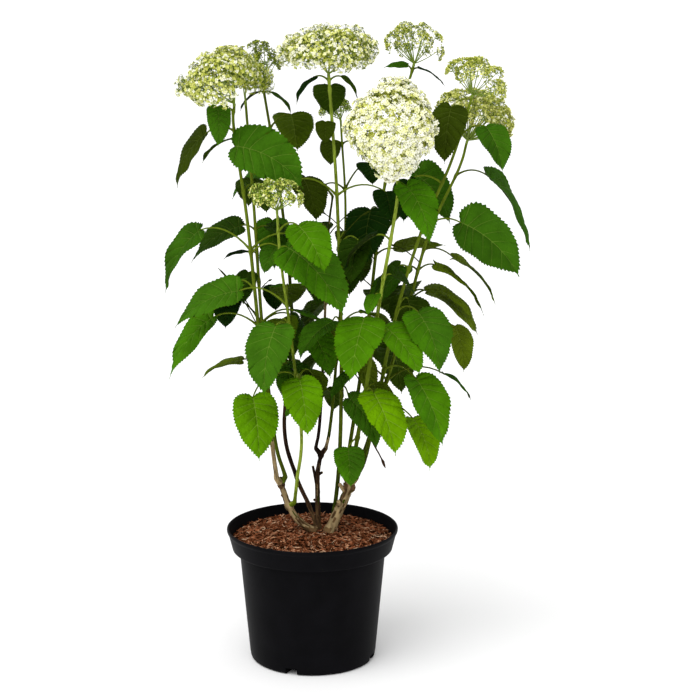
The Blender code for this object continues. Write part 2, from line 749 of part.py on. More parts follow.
def make_soil():
    """The compost that fills the pot to below its rim, flat where the stems stand."""
    edge = POT_HEIGHT - SOIL_EDGE_DEPTH
    band_foot = POT_HEIGHT - RIM_BAND
    low = FLOOR + GAP
    profile = [
        (0, low), (wall_radius(low) - GAP * 1.5, low), (wall_radius(band_foot) - GAP * 1.5, band_foot),
        (wall_radius(edge) - GAP * 2 - 0.5, edge), (SOIL_FLAT_RADIUS, SOIL_TOP), (0, SOIL_TOP),
    ]
    return finish(turned_solid("soil", profile), material("soil_brown", SOIL_BROWN), 30)


def make_stem(name, stem, paint):
    """A woody stem with a knot wherever canes leave it."""
    line = stem_line(stem)
    line[0] += UP * GAP
    line[1:, 2] = np.maximum(line[1:, 2], line[0, 2])
    share = np.linspace(0, 1, len(line))
    radii = stem.foot_radius + (stem.tip_radius - stem.foot_radius) * share
    parts = [tube(line, radii, STEM_SIDES)]
    level_foot(parts[0], STEM_SIDES)
    for knot in stem.knots.values():
        parts.append(ball(at_height(stem_line(stem), knot.height), knot.radius, UP, KNOT_SIDES, KNOT_BANDS))
    return finish(fuse(name, parts), paint)


def level_foot(shape, sides):
    """Cuts the lowest ring of an upright tube level, just above the soil."""
    shape.points[:sides, 2] = SOIL_TOP + GAP


def make_cane(name, cane, line, paint):
    """The bare woody part of a cane, up to its first leaves."""
    bare = between_heights(line, line[0, 2], leafy_start(cane))
    shape = tube(bare, cane_radii(cane, bare, line), CANE_SIDES)
    if cane.seat is None:
        level_foot(shape, CANE_SIDES)
    return finish(mesh_object(name + "_cane", shape), paint)


def make_foliage(name, cane, line, leaves, paint):
    """The leafy part of a cane: its stem with every leaf and stalk fused on."""
    start = leafy_start(cane)
    leafy = between_heights(line, start, line[-1, 2])
    leafy[0] += tangents(between_heights(line, line[0, 2], start))[-1] * GAP
    parts = [tube(leafy, cane_radii(cane, leafy, line), LEAFY_SIDES)]
    parts += [leaf_shape(leaf) for leaf in leaves]
    return finish(fuse(name + "_foliage", parts), paint)


def main():
    for old in list(bpy.data.objects):
        bpy.data.objects.remove(old)
    bark = material("bark", BARK_BROWN)
    green = material("leaf", LEAF_GREEN)
    paints = {"dense": material("cream_florets", CREAM), "airy": material("lime_florets", LIME)}
    make_pot()
    make_soil()
    space = Space()
    lines = {name: cane_line(cane) for name, cane in CANES.items()}
    for name, stem in STEMS.items():
        make_stem(name, stem, bark)
    for name, cane in CANES.items():
        space.add(name, tube(lines[name], cane_radii(cane, lines[name], lines[name]), CANE_SIDES))
        if cane.head:
            space.add(name + "_head", head_shell(cane, lines[name]))
    grown = grow_leaves(space, lines)
    for name, cane in CANES.items():
        make_cane(name, cane, lines[name], bark)
        make_foliage(name, cane, lines[name], grown[name], green)
        if cane.head:
            chance = random.Random(HEAD_SEED + len(name))
            make_head = dense_head if cane.head.kind == "dense" else airy_head
            parts = make_head(cane, lines[name], chance)
            finish(fuse(name + "_flower_head", parts), paints[cane.head.kind])


main()
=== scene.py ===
"""Looks of the potted annabelle smooth hydrangea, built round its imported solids.

Sizes are in millimetres and angles in degrees until Pile.make turns them into metres. A heading
of 0 is +X, 90 is away from the viewer and 270 is towards the viewer. Leaves, canes and flower
heads are placed by the same rule as in the part's source, then carried to finer detail. The
studio is in metres.
"""

import math
import random
from collections import namedtuple

import bpy
import numpy as np
from mathutils.bvhtree import BVHTree
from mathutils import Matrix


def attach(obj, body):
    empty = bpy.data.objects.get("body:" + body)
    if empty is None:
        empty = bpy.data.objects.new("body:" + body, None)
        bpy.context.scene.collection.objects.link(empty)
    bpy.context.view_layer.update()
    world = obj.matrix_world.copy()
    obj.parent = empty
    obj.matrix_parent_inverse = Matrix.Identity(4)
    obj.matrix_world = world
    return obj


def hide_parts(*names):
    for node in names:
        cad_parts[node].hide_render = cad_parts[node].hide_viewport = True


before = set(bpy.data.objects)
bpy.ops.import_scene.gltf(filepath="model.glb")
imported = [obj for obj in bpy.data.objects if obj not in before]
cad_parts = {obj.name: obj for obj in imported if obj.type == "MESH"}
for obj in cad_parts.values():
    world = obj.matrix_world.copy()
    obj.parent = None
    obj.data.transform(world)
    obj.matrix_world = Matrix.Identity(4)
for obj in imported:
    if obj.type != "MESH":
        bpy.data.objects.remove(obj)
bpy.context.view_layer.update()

MM = 0.001
GAP = 0.3
LEAF_ROOM = 0.9
UP = np.array([0.0, 0.0, 1.0])
ASKEW = np.array([0.83, 0.52, 0.2])
GOLDEN_ANGLE = 180 * (3 - math.sqrt(5))

# Pot and soil
POT_HEIGHT = 204
RIM_RADIUS = 130
RIM_BAND = 33
BAND_FOOT = POT_HEIGHT - RIM_BAND
BAND_FOOT_RADIUS = 121.5
BODY_TOP_RADIUS = 111
BASE_RADIUS = 95.5
WALL = 3
NOTCHES = 4
NOTCH_WIDTH = 18
NOTCH_HEIGHT = 8
NOTCH_DEPTH = 34
FIRST_NOTCH_HEADING = 251
SOIL_TOP = 197

# Placing rule of the leaves
STALK_RADIUS = 1.2
MIDRIB_HALF = 0.85
BLADE_BEND = 24
BLADE_LIFT = 0.14
LOBE_SWEEP = 0.1
STALK_CREST = 0.35
BLADE_RINGS = (0.035, 0.16, 0.42, 0.72)
LEAF_ABOVE_SOIL = 12
MIDRIB_STEPS = 8
USUAL_RISE = 0.3
USUAL_WIDTH = 0.68
PARTNER_REACH = 0.9
PARTNER_BLADE = 0.88
PARTNER_NARROWEST = 0.5
PARTNER_SWAY = 8
PARTNER_DROOPS = (35, 60)
FILL_HEADINGS = (40, 140)
FILL_REACH = 34
FILL_BLADES = (74, 96)
FILL_DROOPS = (40, 58)
FILL_WIDTH = 0.7
LEAF_SEED = 5
SMALLEST_BLADE = 34
DROOP_TRIES = (0, 8, -8, 16, -16, 26)
HEADING_TRIES = (0, 6, -6, 12, -12, 20, -20, 30, -30)
FREE_HEADING_TRIES = (0, 15, -15, 30, -30, 48, -48)
FREE_SIZES = (1, 0.82, 0.66)
FILL_SPACING = 105
CANE_SIDES = 7
SEAT_LENGTH = 7

# Bark tones
BLACKISH, DARK_BROWN, BROWN, TAN, DARK_OLIVE, OLIVE, OLIVE_GREEN, LIGHT_GREEN = range(8)
# Leaf tones, from near black to yellow green, and two olive ones. The darkest tones are painted shade, for
# leaves that lie in shade inside and at the back of the crown.
BLACK, DARK, DEEP, FULL, MID, BRIGHT, VIVID, YELLOW, DRAB, DUSK = range(10)

Stem = namedtuple("Stem", "points foot_radius tip_radius knots tones")
Knot = namedtuple("Knot", "height radius")
STEMS = {
    "left_stem": Stem(
        ((4, -5, SOIL_TOP), (-20, -6, 214), (-36, -7, 240), (-47, -8, 272)),
        5.4, 4.2, {"side": Knot(238, 6.6), "tip": Knot(272, 6.2)},
        ((197, BROWN), (225, TAN), (262, TAN), (272, DARK_BROWN)),
    ),
    "centre_stem": Stem(
        ((9, 6, SOIL_TOP), (8, 5, 240), (8, 6, 285), (13, 8, 314)),
        4.2, 3.0, {"tip": Knot(314, 5.2)},
        ((197, BROWN), (240, DARK_BROWN), (300, BLACKISH)),
    ),
    "right_stem": Stem(
        ((25, -8, SOIL_TOP), (36, -5, 222), (48, -1, 246), (57, 2, 268)),
        8.2, 6.4, {"tip": Knot(268, 10)},
        ((197, BROWN), (210, TAN), (245, TAN), (268, BROWN)),
    ),
}

OPPOSITE, ALONE = "opposite", "alone"
# A seat on a knot is the way from the knot's centre to the cane's foot.
Seat = namedtuple("Seat", "stem knot heading pitch")
Pair = namedtuple(
    "Pair", "height heading reach blade droop tone turn roll rise width partner",
    defaults=(0, 0, USUAL_RISE, USUAL_WIDTH, OPPOSITE),
)
Head = namedtuple("Head", "kind width depth height lean lean_heading")
Cane = namedtuple("Cane", "seat points foot_radius tip_radius pairs head tones")


def lone(*sizes, **bends):
    """A listed leaf with none opposite it."""
    return Pair(*sizes, partner=ALONE, **bends)


CANES = {
    "left_front": Cane(
        Seat("left_stem", "tip", 215, 55),
        ((-60, -18, 342), (-77, -30, 513), (-92, -38, 678), (-109, -44, 808), (-108, -46, 843)),
        3.3, 2.1,
        (
            Pair(432, 250, 46, 98, 66, VIVID, turn=36, rise=-0.25, width=0.7, partner=30),
            Pair(519, 187, 67, 116, 56, MID, roll=-24, rise=0.22, width=0.42),
            lone(628, 335, 44, 55, 43, DEEP, turn=-95),
            Pair(633, 172, 75, 112, 62, DEEP, roll=-34, rise=0.37, width=0.48),
            lone(718, 60, 24, 62, 50, DARK),
            lone(806, 170, 42, 94, 60, DUSK, roll=-34, rise=-0.1, width=0.56),
            lone(784, 258, 26, 120, 30, FULL, turn=88, roll=56, rise=0.1, width=0.68),
            lone(833, 200, 34, 74, 70, FULL, turn=62, width=0.55),
        ),
        Head("dense", 154, 130, 84, 24, 182),
        ((272, TAN), (330, TAN), (400, OLIVE), (520, OLIVE_GREEN)),
    ),
    "left_rear": Cane(
        Seat("left_stem", "tip", 35, 55),
        ((-57, 14, 340), (-75, 36, 502), (-87, 54, 687), (-98, 66, 837)),
        3.0, 2.0,
        (
            Pair(441, 180, 38, 69, 26, DRAB, roll=-6, rise=0.4),
            Pair(511, 172, 50, 50, 65, BLACK, turn=80, rise=0.75, width=0.9),
            lone(574, 165, 16, 54, 64, DARK, turn=85, rise=0.8, width=0.62),
            lone(615, 190, 8, 46, 12, BLACK, width=0.4),
            Pair(650, 178, 22, 98, 38, DARK, roll=-30, width=0.55),
            lone(713, 95, 30, 70, 45, DARK),
            Pair(776, 165, 30, 60, 40, DARK, width=0.4),
        ),
        Head("dense", 88, 76, 66, 6, 20),
        ((272, OLIVE), (400, OLIVE), (600, OLIVE_GREEN)),
    ),
    "inner_left": Cane(
        None,
        ((6, 22, SOIL_TOP), (-6, 28, 229), (-27, 42, 275), (-44, 64, 346), (-32, 92, 502),
         (-49, 122, 692), (-76, 154, 857)),
        3.4, 2.0,
        (
            Pair(430, 272, 30, 60, 65, DEEP),
            lone(495, 265, 12, 60, 60, DARK),
            Pair(552, 190, 23, 42, 68, BLACK, turn=75, width=0.9),
            lone(650, 240, 32, 84, 60, FULL, turn=30, width=0.62),
            Pair(722, 205, 24, 66, 42, DEEP, roll=-20, width=0.7),
            lone(795, 20, 34, 70, 62, DRAB, turn=60, rise=0.6, width=0.88),
            Pair(848, 352, 8, 50, 45, DARK, width=0.4),
        ),
        Head("airy", 60, 60, 72, 8, 180),
        ((197, BROWN), (240, DARK_BROWN), (290, BLACKISH), (370, DARK_BROWN), (450, DARK_OLIVE),
         (700, OLIVE)),
    ),
    "front_shoot": Cane(
        Seat("left_stem", "side", 318, 35),
        ((-22, -28, 287), (-15, -44, 361), (-29, -72, 516), (-42, -92, 628), (-46, -104, 697)),
        2.7, 1.8,
        (
            Pair(442, 277, 50, 86, 68, VIVID, turn=10, rise=0.28),
            Pair(522, 245, 45, 104, 72, FULL, turn=-6, width=0.78),
            Pair(560, 180, 68, 113, 30, FULL, roll=-26, width=0.55, partner=95),
            lone(643, 334, 12, 130, 48, MID, roll=30),
            lone(668, 312, 44, 84, 50, BRIGHT, roll=20),
        ),
        Head("airy", 80, 70, 46, 10, 250),
        ((238, OLIVE_GREEN), (300, LIGHT_GREEN), (500, OLIVE_GREEN), (700, LIGHT_GREEN)),
    ),
    "centre": Cane(
        Seat("centre_stem", "tip", 165, 50),
        ((11, 18, 359), (17, 40, 467), (24, 58, 637), (31, 64, 700)),
        2.6, 1.6,
        (
            Pair(400, 40, 25, 60, 50, DARK),
            Pair(490, 275, 40, 82, 50, MID, turn=55),
            Pair(590, 60, 30, 80, 50, DARK),
            lone(700, 178, 44, 74, 60, DUSK, turn=122, rise=0.6, width=0.78),
        ),
        None,
        ((314, BLACKISH), (400, BLACKISH), (460, DARK_BROWN), (560, DARK_OLIVE)),
    ),
    "centre_rear": Cane(
        Seat("centre_stem", "tip", 20, 50),
        ((27, 26, 354), (35, 48, 436), (50, 94, 652), (43, 118, 808)),
        2.6, 1.6,
        (
            Pair(450, 330, 30, 85, 66, DRAB),
            Pair(600, 70, 30, 80, 50, DARK),
            Pair(705, 10, 34, 42, 52, BLACK, turn=-80, rise=1.2, width=0.95),
            Pair(773, 172, 16, 40, 72, DUSK, turn=85, width=0.85, partner=350),
        ),
        Head("airy", 50, 50, 34, 22, 180),
        ((314, DARK_BROWN), (350, OLIVE), (600, OLIVE_GREEN)),
    ),
    "centre_front": Cane(
        None,
        ((27, 8, SOIL_TOP), (36, 6, 250), (42, 2, 331), (44, 0, 482), (38, 2, 703), (26, 4, 882)),
        3.3, 2.2,
        (
            lone(417, 281, 60, 90, 61, DEEP, turn=71, roll=76, rise=0, width=0.42),
            Pair(515, 250, 50, 84, 40, FULL, turn=-40),
            Pair(632, 300, 56, 70, 62, DARK, turn=-50),
            Pair(708, 345, 74, 50, 58, BLACK, turn=-60, rise=0.1, width=0.9, partner=165),
            lone(812, 220, 12, 36, 62, DUSK, turn=45, width=0.8),
            lone(862, 90, 14, 54, 62, DARK, width=0.9),
            Pair(874, 200, 22, 50, 55, BLACK, width=0.5),
        ),
        Head("dense", 168, 150, 70, 4, 200),
        ((197, DARK_OLIVE), (250, DARK_OLIVE), (330, OLIVE), (600, OLIVE_GREEN), (880, LIGHT_GREEN)),
    ),
    "right_front": Cane(
        Seat("right_stem", "tip", 265, 40),
        ((64, -30, 326), (80, -54, 429), (100, -78, 568), (121, -96, 695), (124, -98, 738),
         (117, -88, 782)),
        3.3, 2.2,
        (
            lone(352, 225, 20, 62, 62, MID, turn=50, rise=-0.6, width=0.74),
            Pair(425, 290, 34, 102, 61, YELLOW, turn=15, rise=0.2),
            lone(535, 222, 24, 102, 58, BRIGHT, turn=30, width=0.7),
            lone(523, 318, 18, 92, 45, BRIGHT, roll=15),
            lone(572, 240, 15, 36, 50, MID),
            lone(600, 30, 12, 58, 40, DARK, roll=30),
            lone(655, 170, 22, 74, 50, BLACK),
            lone(730, 328, 14, 96, 56, MID, turn=-18, roll=10, width=0.58),
        ),
        Head("dense", 146, 172, 96, 50, 262),
        ((268, TAN), (330, OLIVE), (430, OLIVE_GREEN), (740, LIGHT_GREEN)),
    ),
    "right_rear": Cane(
        Seat("right_stem", "tip", 140, 50),
        ((58, 30, 331), (84, 66, 503), (107, 90, 697), (135, 106, 827), (153, 114, 892)),
        3.1, 2.0,
        (
            lone(470, 70, 40, 90, 50, DARK),
            Pair(608, 12, 34, 80, -2, DRAB, roll=10, rise=0.2, width=0.6, partner=190),
            lone(668, 250, 45, 86, 70, BLACK, width=0.8),
            lone(718, 345, 44, 98, 56, DEEP, roll=40, width=0.7),
            lone(796, 190, 14, 48, 60, DARK, width=0.5),
            Pair(884, 185, 12, 56, 8, DEEP, roll=-35, rise=1.0, width=0.42, partner=352),
        ),
        Head("airy", 98, 92, 64, 4, 90),
        ((268, TAN), (340, OLIVE), (600, OLIVE_GREEN)),
    ),
    "right_inner": Cane(
        Seat("right_stem", "tip", 330, 50),
        ((84, -10, 331), (123, -20, 527), (161, -26, 659), (203, -26, 760), (232, -26, 854)),
        3.2, 1.9,
        (
            lone(398, 323, 66, 84, 60, YELLOW, turn=-12, rise=-0.2, width=0.62),
            Pair(450, 309, 72, 112, 59, BRIGHT, rise=0, width=0.56),
            Pair(540, 298, 46, 100, 60, MID, rise=0.1, width=0.76),
            lone(604, 175, 14, 60, 50, DARK, roll=-20, width=0.6),
            lone(662, 350, 56, 119, 44, FULL, roll=45, rise=0.2, width=0.78),
            lone(729, 185, 50, 66, 68, BLACK, turn=75, rise=0.1, width=0.6),
            lone(796, 350, 38, 74, 64, FULL, turn=-38, roll=10, rise=0.4),
            lone(832, 205, 26, 88, 70, DUSK, turn=45, width=0.62),
        ),
        Head("airy", 112, 96, 56, 14, 0),
        ((268, TAN), (350, OLIVE), (520, OLIVE_GREEN)),
    ),
    "right_outer": Cane(
        Seat("right_stem", "tip", 35, 50),
        ((90, 22, 350), (138, 44, 507), (174, 60, 638), (220, 70, 740), (232, 74, 780)),
        3.2, 2.0,
        (
            Pair(424, 5, 86, 63, 45, DEEP, rise=0.1, width=0.25),
            Pair(484, 345, 86, 74, 64, DRAB, turn=-50, width=0.55),
            lone(545, 355, 46, 66, 42, DRAB, roll=10, width=0.45),
            Pair(556, 345, 24, 106, 42, DRAB, roll=14, rise=0),
            Pair(588, 0, 28, 110, 47, DRAB, roll=12, width=0.28),
            lone(620, 5, 46, 101, 49, DRAB, roll=10, rise=-0.3, width=0.4),
            lone(730, 5, 48, 140, 60, DEEP, roll=14, rise=0, width=0.58),
        ),
        Head("airy", 150, 116, 82, 26, 0),
        ((268, TAN), (350, OLIVE), (540, OLIVE_GREEN)),
    ),
}


def way(heading, pitch=0.0):
    """The unit vector of a heading and a pitch above the horizontal."""
    turn, rise = math.radians(heading), math.radians(pitch)
    return np.array([math.cos(turn) * math.cos(rise), math.sin(turn) * math.cos(rise), math.sin(rise)])


def unit(vector):
    return vector / np.linalg.norm(vector)


def units(vectors):
    return vectors / np.linalg.norm(vectors, axis=-1, keepdims=True)


def turns(count):
    """Angles spread evenly round a circle."""
    return np.arange(count) * 2 * math.pi / count


def circle(side, across, angles):
    """Steps from the centre of a circle, one for each angle from side towards across."""
    return np.cos(angles)[:, None] * side + np.sin(angles)[:, None] * across


def turned(vector, axis, angle):
    """The vector turned about a unit axis."""
    c, s = math.cos(math.radians(angle)), math.sin(math.radians(angle))
    return vector * c + np.cross(axis, vector) * s + axis * np.dot(axis, vector) * (1 - c)


def smooth_line(points, steps=3):
    """Points along a smooth curve that passes through the given ones."""
    given = np.array(points, float)
    knots = np.vstack([2 * given[0] - given[1], given, 2 * given[-1] - given[-2]])
    t = np.linspace(0, 1, steps, endpoint=False)[:, None]
    line = []
    for a, b, c, d in zip(knots, knots[1:], knots[2:], knots[3:]):
        square, cube = 2 * a - 5 * b + 4 * c - d, 3 * b - a - 3 * c + d
        line.append(0.5 * (2 * b + (c - a) * t + square * t**2 + cube * t**3))
    return np.vstack(line + [given[-1:]])


def at_height(line, height):
    """The point of a rising line at a height."""
    return np.array([np.interp(height, line[:, 2], line[:, axis]) for axis in range(3)])


def tangents(line):
    return units(np.gradient(line, axis=0))


def sides_along(line):
    """Two ways square to the line at each of its points, without a twist."""
    ahead = tangents(line)
    side = np.cross(ahead[0], ASKEW)
    for tangent in ahead:
        side = unit(side - tangent * np.dot(side, tangent))
        yield side, np.cross(tangent, side)


# The placing rule, as in the part's source

Shape = namedtuple("Shape", "points faces")
Leaf = namedtuple("Leaf", "node heading reach blade droop turn roll rise width")


def loft(rings, tip=None):
    """A closed shape through rings of points, ending in a flat cap or in a tip."""
    count = len(rings[0])
    points = [point for ring in rings for point in ring]
    faces = [tuple(range(count))[::-1]]
    for first in range(0, (len(rings) - 1) * count, count):
        for k in range(count):
            a, b = first + k, first + (k + 1) % count
            faces += [(a, b, b + count), (a, b + count, a + count)]
    last = (len(rings) - 1) * count
    if tip is None:
        faces.append(tuple(range(last, last + count)))
    else:
        points.append(tip)
        faces += [(last + k, last + (k + 1) % count, len(points) - 1) for k in range(count)]
    return Shape(np.array(points), faces)


def tube(line, radii, sides):
    """A closed tube along a line, with flat ends square to it."""
    angles = turns(sides)
    return loft([
        point + radius * circle(side, across, angles)
        for point, radius, (side, across) in zip(line, radii, sides_along(line))
    ])


def half_width(u):
    """The outline of a heart-shaped leaf with a drawn-out tip, 1 at its widest."""
    return (1 - u) ** 1.15 * (1 + 2.2 * u) * (1 - np.exp(-u / 0.04)) / 1.12


def stalk_bend(leaf):
    """The way out, the crest and the end of the stalk, which rises from the cane and arches over."""
    out = way(leaf.heading)
    crest = leaf.node + out * leaf.reach * 0.5 + UP * leaf.reach * (STALK_CREST + 0.6 * leaf.rise)
    end = leaf.node + out * leaf.reach + UP * leaf.reach * leaf.rise
    return out, crest, end


def leaf_stalk(leaf):
    """The coarse stalk's three points."""
    out, crest, end = stalk_bend(leaf)
    middle = 0.25 * leaf.node + 0.5 * crest + 0.25 * end
    return leaf.node + out * 0.5, middle, end


def blade_frame(leaf, start, u):
    """A point on the midrib, with the way ahead, the left side and the upper side there."""
    heading = leaf.heading + leaf.turn
    point = np.array(start)
    for k in range(MIDRIB_STEPS):
        pitch = -(leaf.droop + BLADE_BEND * (2 * u * (k + 0.5) / MIDRIB_STEPS - 1))
        point = point + way(heading, pitch) * leaf.blade * u / MIDRIB_STEPS
    ahead = way(heading, -(leaf.droop + BLADE_BEND * (2 * u - 1)))
    left = turned(np.cross(UP, way(heading)), ahead, leaf.roll)
    return point, ahead, left, np.cross(ahead, left)


def ring_of_four(edge, wide, point, thick):
    """The left edge, the top, the right edge and the foot of a flat ring."""
    return [edge + wide, point + thick, edge - wide, point - thick]


def leaf_shape(leaf, room=0.0, outer=False):
    """A coarse closed leaf on its stalk. Room makes it fatter, and outer leaves out the stalk's root."""
    stalk = np.array(leaf_stalk(leaf))
    if outer:
        stalk = stalk[1:]
    rings = []
    for point, ahead in zip(stalk, tangents(stalk)):
        left = unit(np.cross(UP, ahead))
        size = STALK_RADIUS + room
        rings.append(ring_of_four(point, left * size, point, np.cross(ahead, left) * size))
    for u in BLADE_RINGS:
        point, ahead, left, above = blade_frame(leaf, stalk[-1], u)
        wide = half_width(u) * leaf.blade * leaf.width / 2
        edge = point - ahead * LOBE_SWEEP * leaf.blade * (1 - u) ** 3 + above * BLADE_LIFT * wide
        rings.append(ring_of_four(edge, left * (wide + room), point, above * (MIDRIB_HALF + room)))
    point, ahead, left, above = blade_frame(leaf, stalk[-1], 1)
    return loft(rings, tip=point + ahead * room)


def tree_of(shape):
    return BVHTree.FromPolygons([tuple(p) for p in shape.points], shape.faces)


class Space:
    """What is already placed, each with the name of the node that it belongs to."""

    def __init__(self):
        self.taken = []

    def add(self, owner, shape):
        self.taken.append((owner, tree_of(shape), shape.points.min(0), shape.points.max(0)))

    def is_free(self, owner, leaf):
        """Whether the leaf touches nothing and hangs clear of the soil."""
        whole = leaf_shape(leaf, LEAF_ROOM)
        outer = tree_of(leaf_shape(leaf, LEAF_ROOM, outer=True))
        whole_tree = tree_of(whole)
        low, high = whole.points.min(0), whole.points.max(0)
        if low[2] < SOIL_TOP + LEAF_ABOVE_SOIL:
            return False
        for other, tree, other_low, other_high in self.taken:
            if (low > other_high).any() or (high < other_low).any():
                continue
            if (outer if other == owner else whole_tree).overlap(tree):
                return False
        return True

    def settle(self, owner, leaf, headings):
        """The leaf turned, lowered or made smaller until it hangs free, or None."""
        for size in FREE_SIZES:
            for droop in DROOP_TRIES:
                for heading in headings:
                    tried = leaf._replace(
                        heading=leaf.heading + heading, droop=leaf.droop + droop,
                        blade=leaf.blade * size, reach=leaf.reach * size,
                    )
                    if tried.blade >= SMALLEST_BLADE and self.is_free(owner, tried):
                        self.add(owner, leaf_shape(tried))
                        return tried
        return None


def cane_line(cane, steps=3):
    """The cane's line from its foot on the soil or on a knot, square to what carries it."""
    if cane.seat is None:
        return smooth_line([cane.points[0] + UP * GAP, *cane.points[1:]], steps)
    knot = STEMS[cane.seat.stem].knots[cane.seat.knot]
    centre = at_height(smooth_line(STEMS[cane.seat.stem].points), knot.height)
    out = way(cane.seat.heading, cane.seat.pitch)
    foot = centre + out * (knot.radius + GAP)
    return np.vstack([foot, smooth_line([foot + out * SEAT_LENGTH, *cane.points], steps)])


def cane_radii(cane, line):
    share = (line[:, 2] - line[0, 2]) / (line[-1, 2] - line[0, 2])
    return cane.foot_radius + (cane.tip_radius - cane.foot_radius) * share


def listed_leaf(pair, line):
    return Leaf(at_height(line, pair.height), pair.heading, pair.reach, pair.blade, pair.droop,
                pair.turn, pair.roll, pair.rise, pair.width)


def partner_leaf(pair, line, chance):
    """The leaf on the other side of the cane, a little smaller."""
    leaf = listed_leaf(pair, line)
    heading = pair.heading + 180 if pair.partner == OPPOSITE else pair.partner
    return leaf._replace(
        heading=heading + chance.uniform(-PARTNER_SWAY, PARTNER_SWAY), reach=leaf.reach * PARTNER_REACH,
        blade=leaf.blade * PARTNER_BLADE, droop=min(max(leaf.droop, PARTNER_DROOPS[0]), PARTNER_DROOPS[1]),
        turn=0, roll=0, rise=USUAL_RISE, width=max(leaf.width, PARTNER_NARROWEST),
    )


def fill_leaves(cane, line, chance):
    """A leaf towards the back wherever the listed pairs leave a long bare stretch."""
    heights = sorted(pair.height for pair in cane.pairs)
    for low, high in zip(heights, heights[1:]):
        if high - low > FILL_SPACING:
            yield Leaf(at_height(line, (low + high) / 2), chance.uniform(*FILL_HEADINGS), FILL_REACH,
                       chance.uniform(*FILL_BLADES), chance.uniform(*FILL_DROOPS), 0, 0, USUAL_RISE,
                       FILL_WIDTH)


def grow_leaves(space, lines):
    """The leaves of every cane, each with its listed tone or None."""
    chance = random.Random(LEAF_SEED)
    grown = {name: [] for name in CANES}
    for name, cane in CANES.items():
        for pair in cane.pairs:
            leaf = space.settle(name, listed_leaf(pair, lines[name]), HEADING_TRIES)
            grown[name].append((leaf, pair.tone))
    for name, cane in CANES.items():
        for pair in cane.pairs:
            if pair.partner != ALONE:
                leaf = partner_leaf(pair, lines[name], chance)
                grown[name].append((space.settle(name, leaf, FREE_HEADING_TRIES), None))
    for name, cane in CANES.items():
        for leaf in fill_leaves(cane, lines[name], chance):
            grown[name].append((space.settle(name, leaf, FREE_HEADING_TRIES), None))
    return {name: [entry for entry in leaves if entry[0]] for name, leaves in grown.items()}


def head_frame(cane, line):
    """The hub at the cane's tip, the cane's way there, and the head's own axis, width and depth."""
    ahead = tangents(line)[-1]
    side = np.cross(UP, way(cane.head.lean_heading))
    axis = turned(UP, side, cane.head.lean)
    return line[-1] + ahead * GAP, ahead, axis, side, np.cross(axis, side)


# The shell of a head: the share of its width at shares of its height
DOME = ((0.62, 0.22), (0.92, 0.38), (1.0, 0.52), (0.86, 0.78), (0.5, 0.95))
SHELL_SIDES = 9


def head_shell(cane, line):
    """The closed dome that holds the head, from its hub to its top."""
    hub, ahead, axis, side, across = head_frame(cane, line)
    head = cane.head
    angles = turns(SHELL_SIDES)
    foot_side = unit(side - ahead * np.dot(side, ahead))
    rings = [hub + cane.tip_radius * circle(foot_side, np.cross(ahead, foot_side), angles)]
    for share, height in DOME:
        wide, deep = head.width / 2 * share, head.depth / 2 * share
        rings.append(hub + axis * head.height * height + circle(wide * side, deep * across, angles))
    return loft(rings, tip=hub + axis * head.height)


def dome_points(cane, line, spacing, share, below=0.2):
    """Points spread evenly over the upper side of the dome, each with the way out."""
    hub, _, axis, side, across = head_frame(cane, line)
    head = cane.head
    wide, deep, rise = head.width / 2 * share, head.depth / 2 * share, head.height * 0.5 * share
    middle = hub + axis * head.height * 0.5
    area = math.pi * (wide + deep) / 2 * ((wide + deep) / 2 + rise)
    count = round(area / spacing**2)
    k = np.arange(count)
    height = (1 - (1 + below) * (k + 0.5) / count)[:, None]
    angle = np.radians(k * GOLDEN_ANGLE)[:, None]
    reach = np.sqrt(np.maximum(0, 1 - height**2))
    flat = (side * np.cos(angle) * wide + across * np.sin(angle) * deep) * reach
    return middle + flat + axis * height * rise, units(flat / wide**2 + axis * height / rise)


# Paints

def paint(name, colour, rough, shine, mottle=0, patch=0, bump=0, grain=0, stretch=1, cells=False,
          depth=0.0008):
    """A material of one colour, with a mottle in large patches and a relief in fine grain."""
    made = bpy.data.materials.new(name)
    made.use_nodes = True
    nodes, links = made.node_tree.nodes, made.node_tree.links

    def node(kind, **inputs):
        added = nodes.new("ShaderNode" + kind)
        for key, value in inputs.items():
            added.inputs[key].default_value = value
        return added

    shader = nodes["Principled BSDF"]
    shader.inputs["Base Color"].default_value = (*colour, 1)
    shader.inputs["Roughness"].default_value = rough
    shader.inputs["Specular IOR Level"].default_value = shine
    stretched = node("Mapping", Scale=(1, 1, stretch))
    links.new(node("TexCoord").outputs["Object"], stretched.inputs["Vector"])
    if mottle:
        noise = node("TexNoise", Scale=patch, Detail=3)
        ramp = node("ValToRGB")
        for stop, place, change in zip(ramp.color_ramp.elements, (0.3, 0.7), (1 - mottle, 1 + mottle)):
            stop.position = place
            stop.color = (*[min(1, c * change) for c in colour], 1)
        links.new(stretched.outputs["Vector"], noise.inputs["Vector"])
        links.new(noise.outputs["Fac"], ramp.inputs["Fac"])
        links.new(ramp.outputs["Color"], shader.inputs["Base Color"])
    if bump:
        relief = node("Bump", Strength=bump, Distance=depth)
        relief.invert = cells
        if cells:
            texture = node("TexVoronoi", Scale=grain)
            texture.feature = "SMOOTH_F1"
        else:
            texture = node("TexNoise", Scale=grain, Detail=4)
        links.new(stretched.outputs["Vector"], texture.inputs["Vector"])
        links.new(texture.outputs["Distance" if cells else "Fac"], relief.inputs["Height"])
        links.new(relief.outputs["Normal"], shader.inputs["Normal"])
    return made


